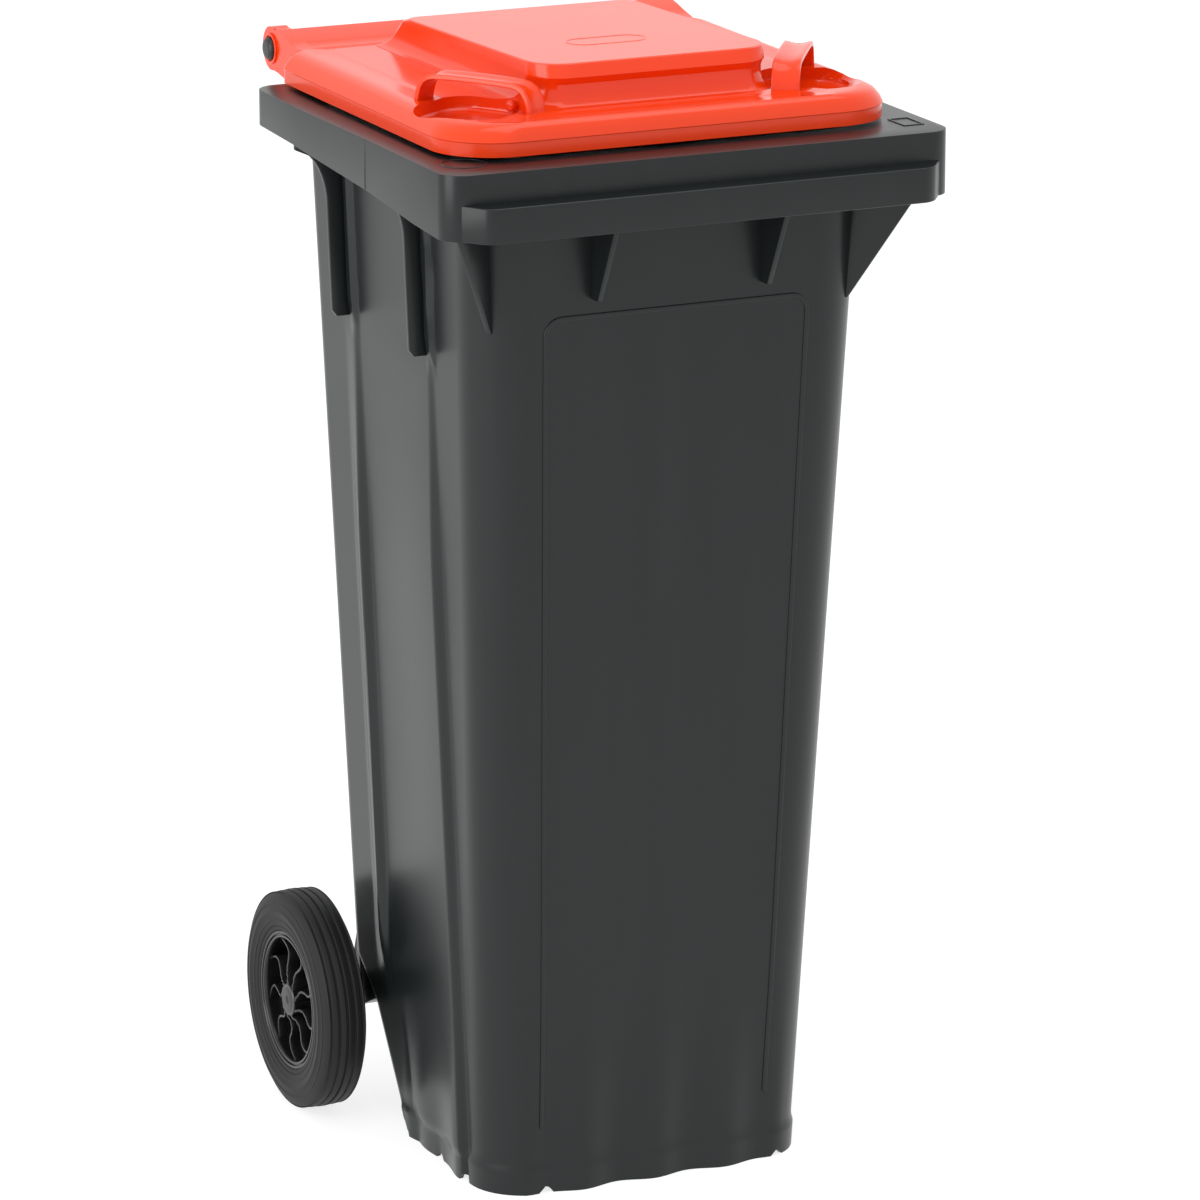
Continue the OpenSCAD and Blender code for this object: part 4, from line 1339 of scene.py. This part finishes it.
# %% Wheel ring, dish and hub
lip = [(57.6, 9), (57.9, 5.2), (58.6, 4.3), (60.0, 4.1), (60.6, 4.6), (60.9, 5.9), (61.9, 5.9), (62.3, 4.4),
       (63.0, 3.8), (64.2, 3.8), (64.9, 4.4), (65.0, 7.8), (62, 10)]
ring = turned("wheel_ring", wheel_x(lip) + wheel_x(lip[::-1], True))
dish = turned("wheel_dish", [(15, 205.5), (22, 206.0), (40, 208.6), (50, 208.2), (58.2, 204.0), (58.2, 201.6),
                             (50, 205.6), (40, 206.0), (22, 203.4), (15, 203)])
hub_low, hub_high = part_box("wheel_rim_right")
x0, x1 = hub_low.x / mm, hub_high.x / mm
print("hub from", round(x0, 2), "to", round(x1, 2))
hub = turned("wheel_hub", [(10.15, x0), (15.2, x0), (16, x0 + 0.8), (16, 202), (17.5, 207), (16.2, 210),
                           (15.6, x1 - 6), (15.2, x1 - 1), (14.4, x1 - 0.2), (12.8, x1 - 0.2),
                           (10.15, x1 - 0.2)], 64)
print("hub", len(hub.data.polygons))


# %% Spokes
hub_r = 14.8
spoke_r = 58.4


def from_axle(vertex):
    return math.hypot(vertex.co.y - axle.y, vertex.co.z - axle.z)


def spoke(name):
    """A thin wall that swings like an S from hub to ring, as deep as the dish allows."""
    path = []
    for step in range(15):
        t = step / 14
        radius = (hub_r + (spoke_r - hub_r) * t) * mm
        swing_to = math.radians(26) * t + 6.5 * mm * math.sin(2 * math.pi * t) / radius
        path.append(Vector((204 * mm, axle.y + radius * math.sin(swing_to),
                            axle.z + radius * math.cos(swing_to))))
    wall = chain(name, path)
    extrude((17.5 * mm, 0, 0))
    leave()
    for reach, lift in ((20, 3.2), (26, 1.6), (32, 1.0), (40, 0.4), (50, -0.3)):
        move(wall, lambda v: v.co.x > 210 * mm and from_axle(v) < reach * mm, (lift * mm * 0.6, 0, 0))
    modify(wall, "SOLIDIFY", thickness=2.4 * mm, offset=0, use_even_offset=True)
    soften(wall, 0.6 * mm, 2, 50)
    return wall


spokes = [spoke("wheel_spoke")]
spoke_count = 9
for index in range(1, spoke_count):
    copy = twin(spokes[0], f"wheel_spoke_{index}")
    swing(copy, index * 2 * math.pi / spoke_count, "X", axle)
    spokes.append(copy)
spoke_set = joined(spokes, "wheel_spokes")
print("spokes", len(spoke_set.data.polygons), "faces")

# %% Hub cap
cap_low, cap_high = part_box("hub_cap_right")
x0, x1 = cap_low.x / mm, cap_high.x / mm
cap_outline = [(12.2, x0), (13.9, x0), (14, x1 - 2), (13.4, x1 - 0.7), (12.2, x1 - 0.1), (4.2, x1),
               (3.6, x1 - 0.5), (2.6, x1 - 0.9), (0, x1 - 1), (0, x1 - 2.2), (12.2, x1 - 2.2)]
cap = turned("hub_cap_disc", cap_outline, 48)
print("cap", len(cap.data.polygons), "faces")

# %% Both wheels
dress_pair(tyre, tyre_rubber, "tyre_rubber", "wheel_{side}", "tyre_{side}")
for piece in (ring, dish, hub, spoke_set):
    dress_pair(piece, wheel_plastic, "wheel_plastic", "wheel_{side}", "wheel_rim_{side}")
dress_pair(cap, cap_plastic, "wheel_plastic", "wheel_{side}", "hub_cap_{side}")

# %% [markdown]
# ## Small turned parts
# The hinge pins get a domed head that sits in a raised ring on the lug. Axle, washers and
# retaining rings are simple turned steel, so their CAD pieces stay as they are and only get
# their finish.

# %% Hinge pins
pin_low, pin_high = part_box("hinge_pin_right")
head_x = pin_high.x - 4 * mm
pin = rod("pin_stem", pin_r, pin_low.x, head_x, hinge.y, hinge.z)
round_edges(pin, lambda e: max(v.co.x for v in e.verts) < pin_low.x + mm, 1.5 * mm, 2)
head = rod("pin_head", 10.5 * mm, head_x, pin_high.x + 1.5 * mm, hinge.y, hinge.z)
round_edges(head, lambda e: min(v.co.x for v in e.verts) > pin_high.x, 4.4 * mm, 6)
lug_face = lug_x + lug_t
collar = rod("lug_collar", 14.2 * mm, lug_face - 0.5 * mm, lug_face + 2 * mm, hinge.y, hinge.z, 64)
bore = rod("collar_tool", 11.6 * mm, lug_face - mm, lug_face + 3 * mm, hinge.y, hinge.z, 64)
combine(collar, bore, "DIFFERENCE")
soften(collar, 0.8 * mm, 3, 50)
pin = joined([pin, head], "hinge_pin_domed")
dress_pair(pin, cap_plastic, "pin_plastic", "bin", "hinge_pin_{side}")
dress_pair(collar, lid_plastic, "lid_plastic", "lid")

# %% Steel of the kept parts
for name in sorted(frame["nodes"]):
    if name.startswith(("axle", "retaining_ring")):
        kept = frame["nodes"][name]
        kept.data.materials.clear()
        kept.data.materials.append(zinc_steel)
        print(name, "keeps its CAD shape")
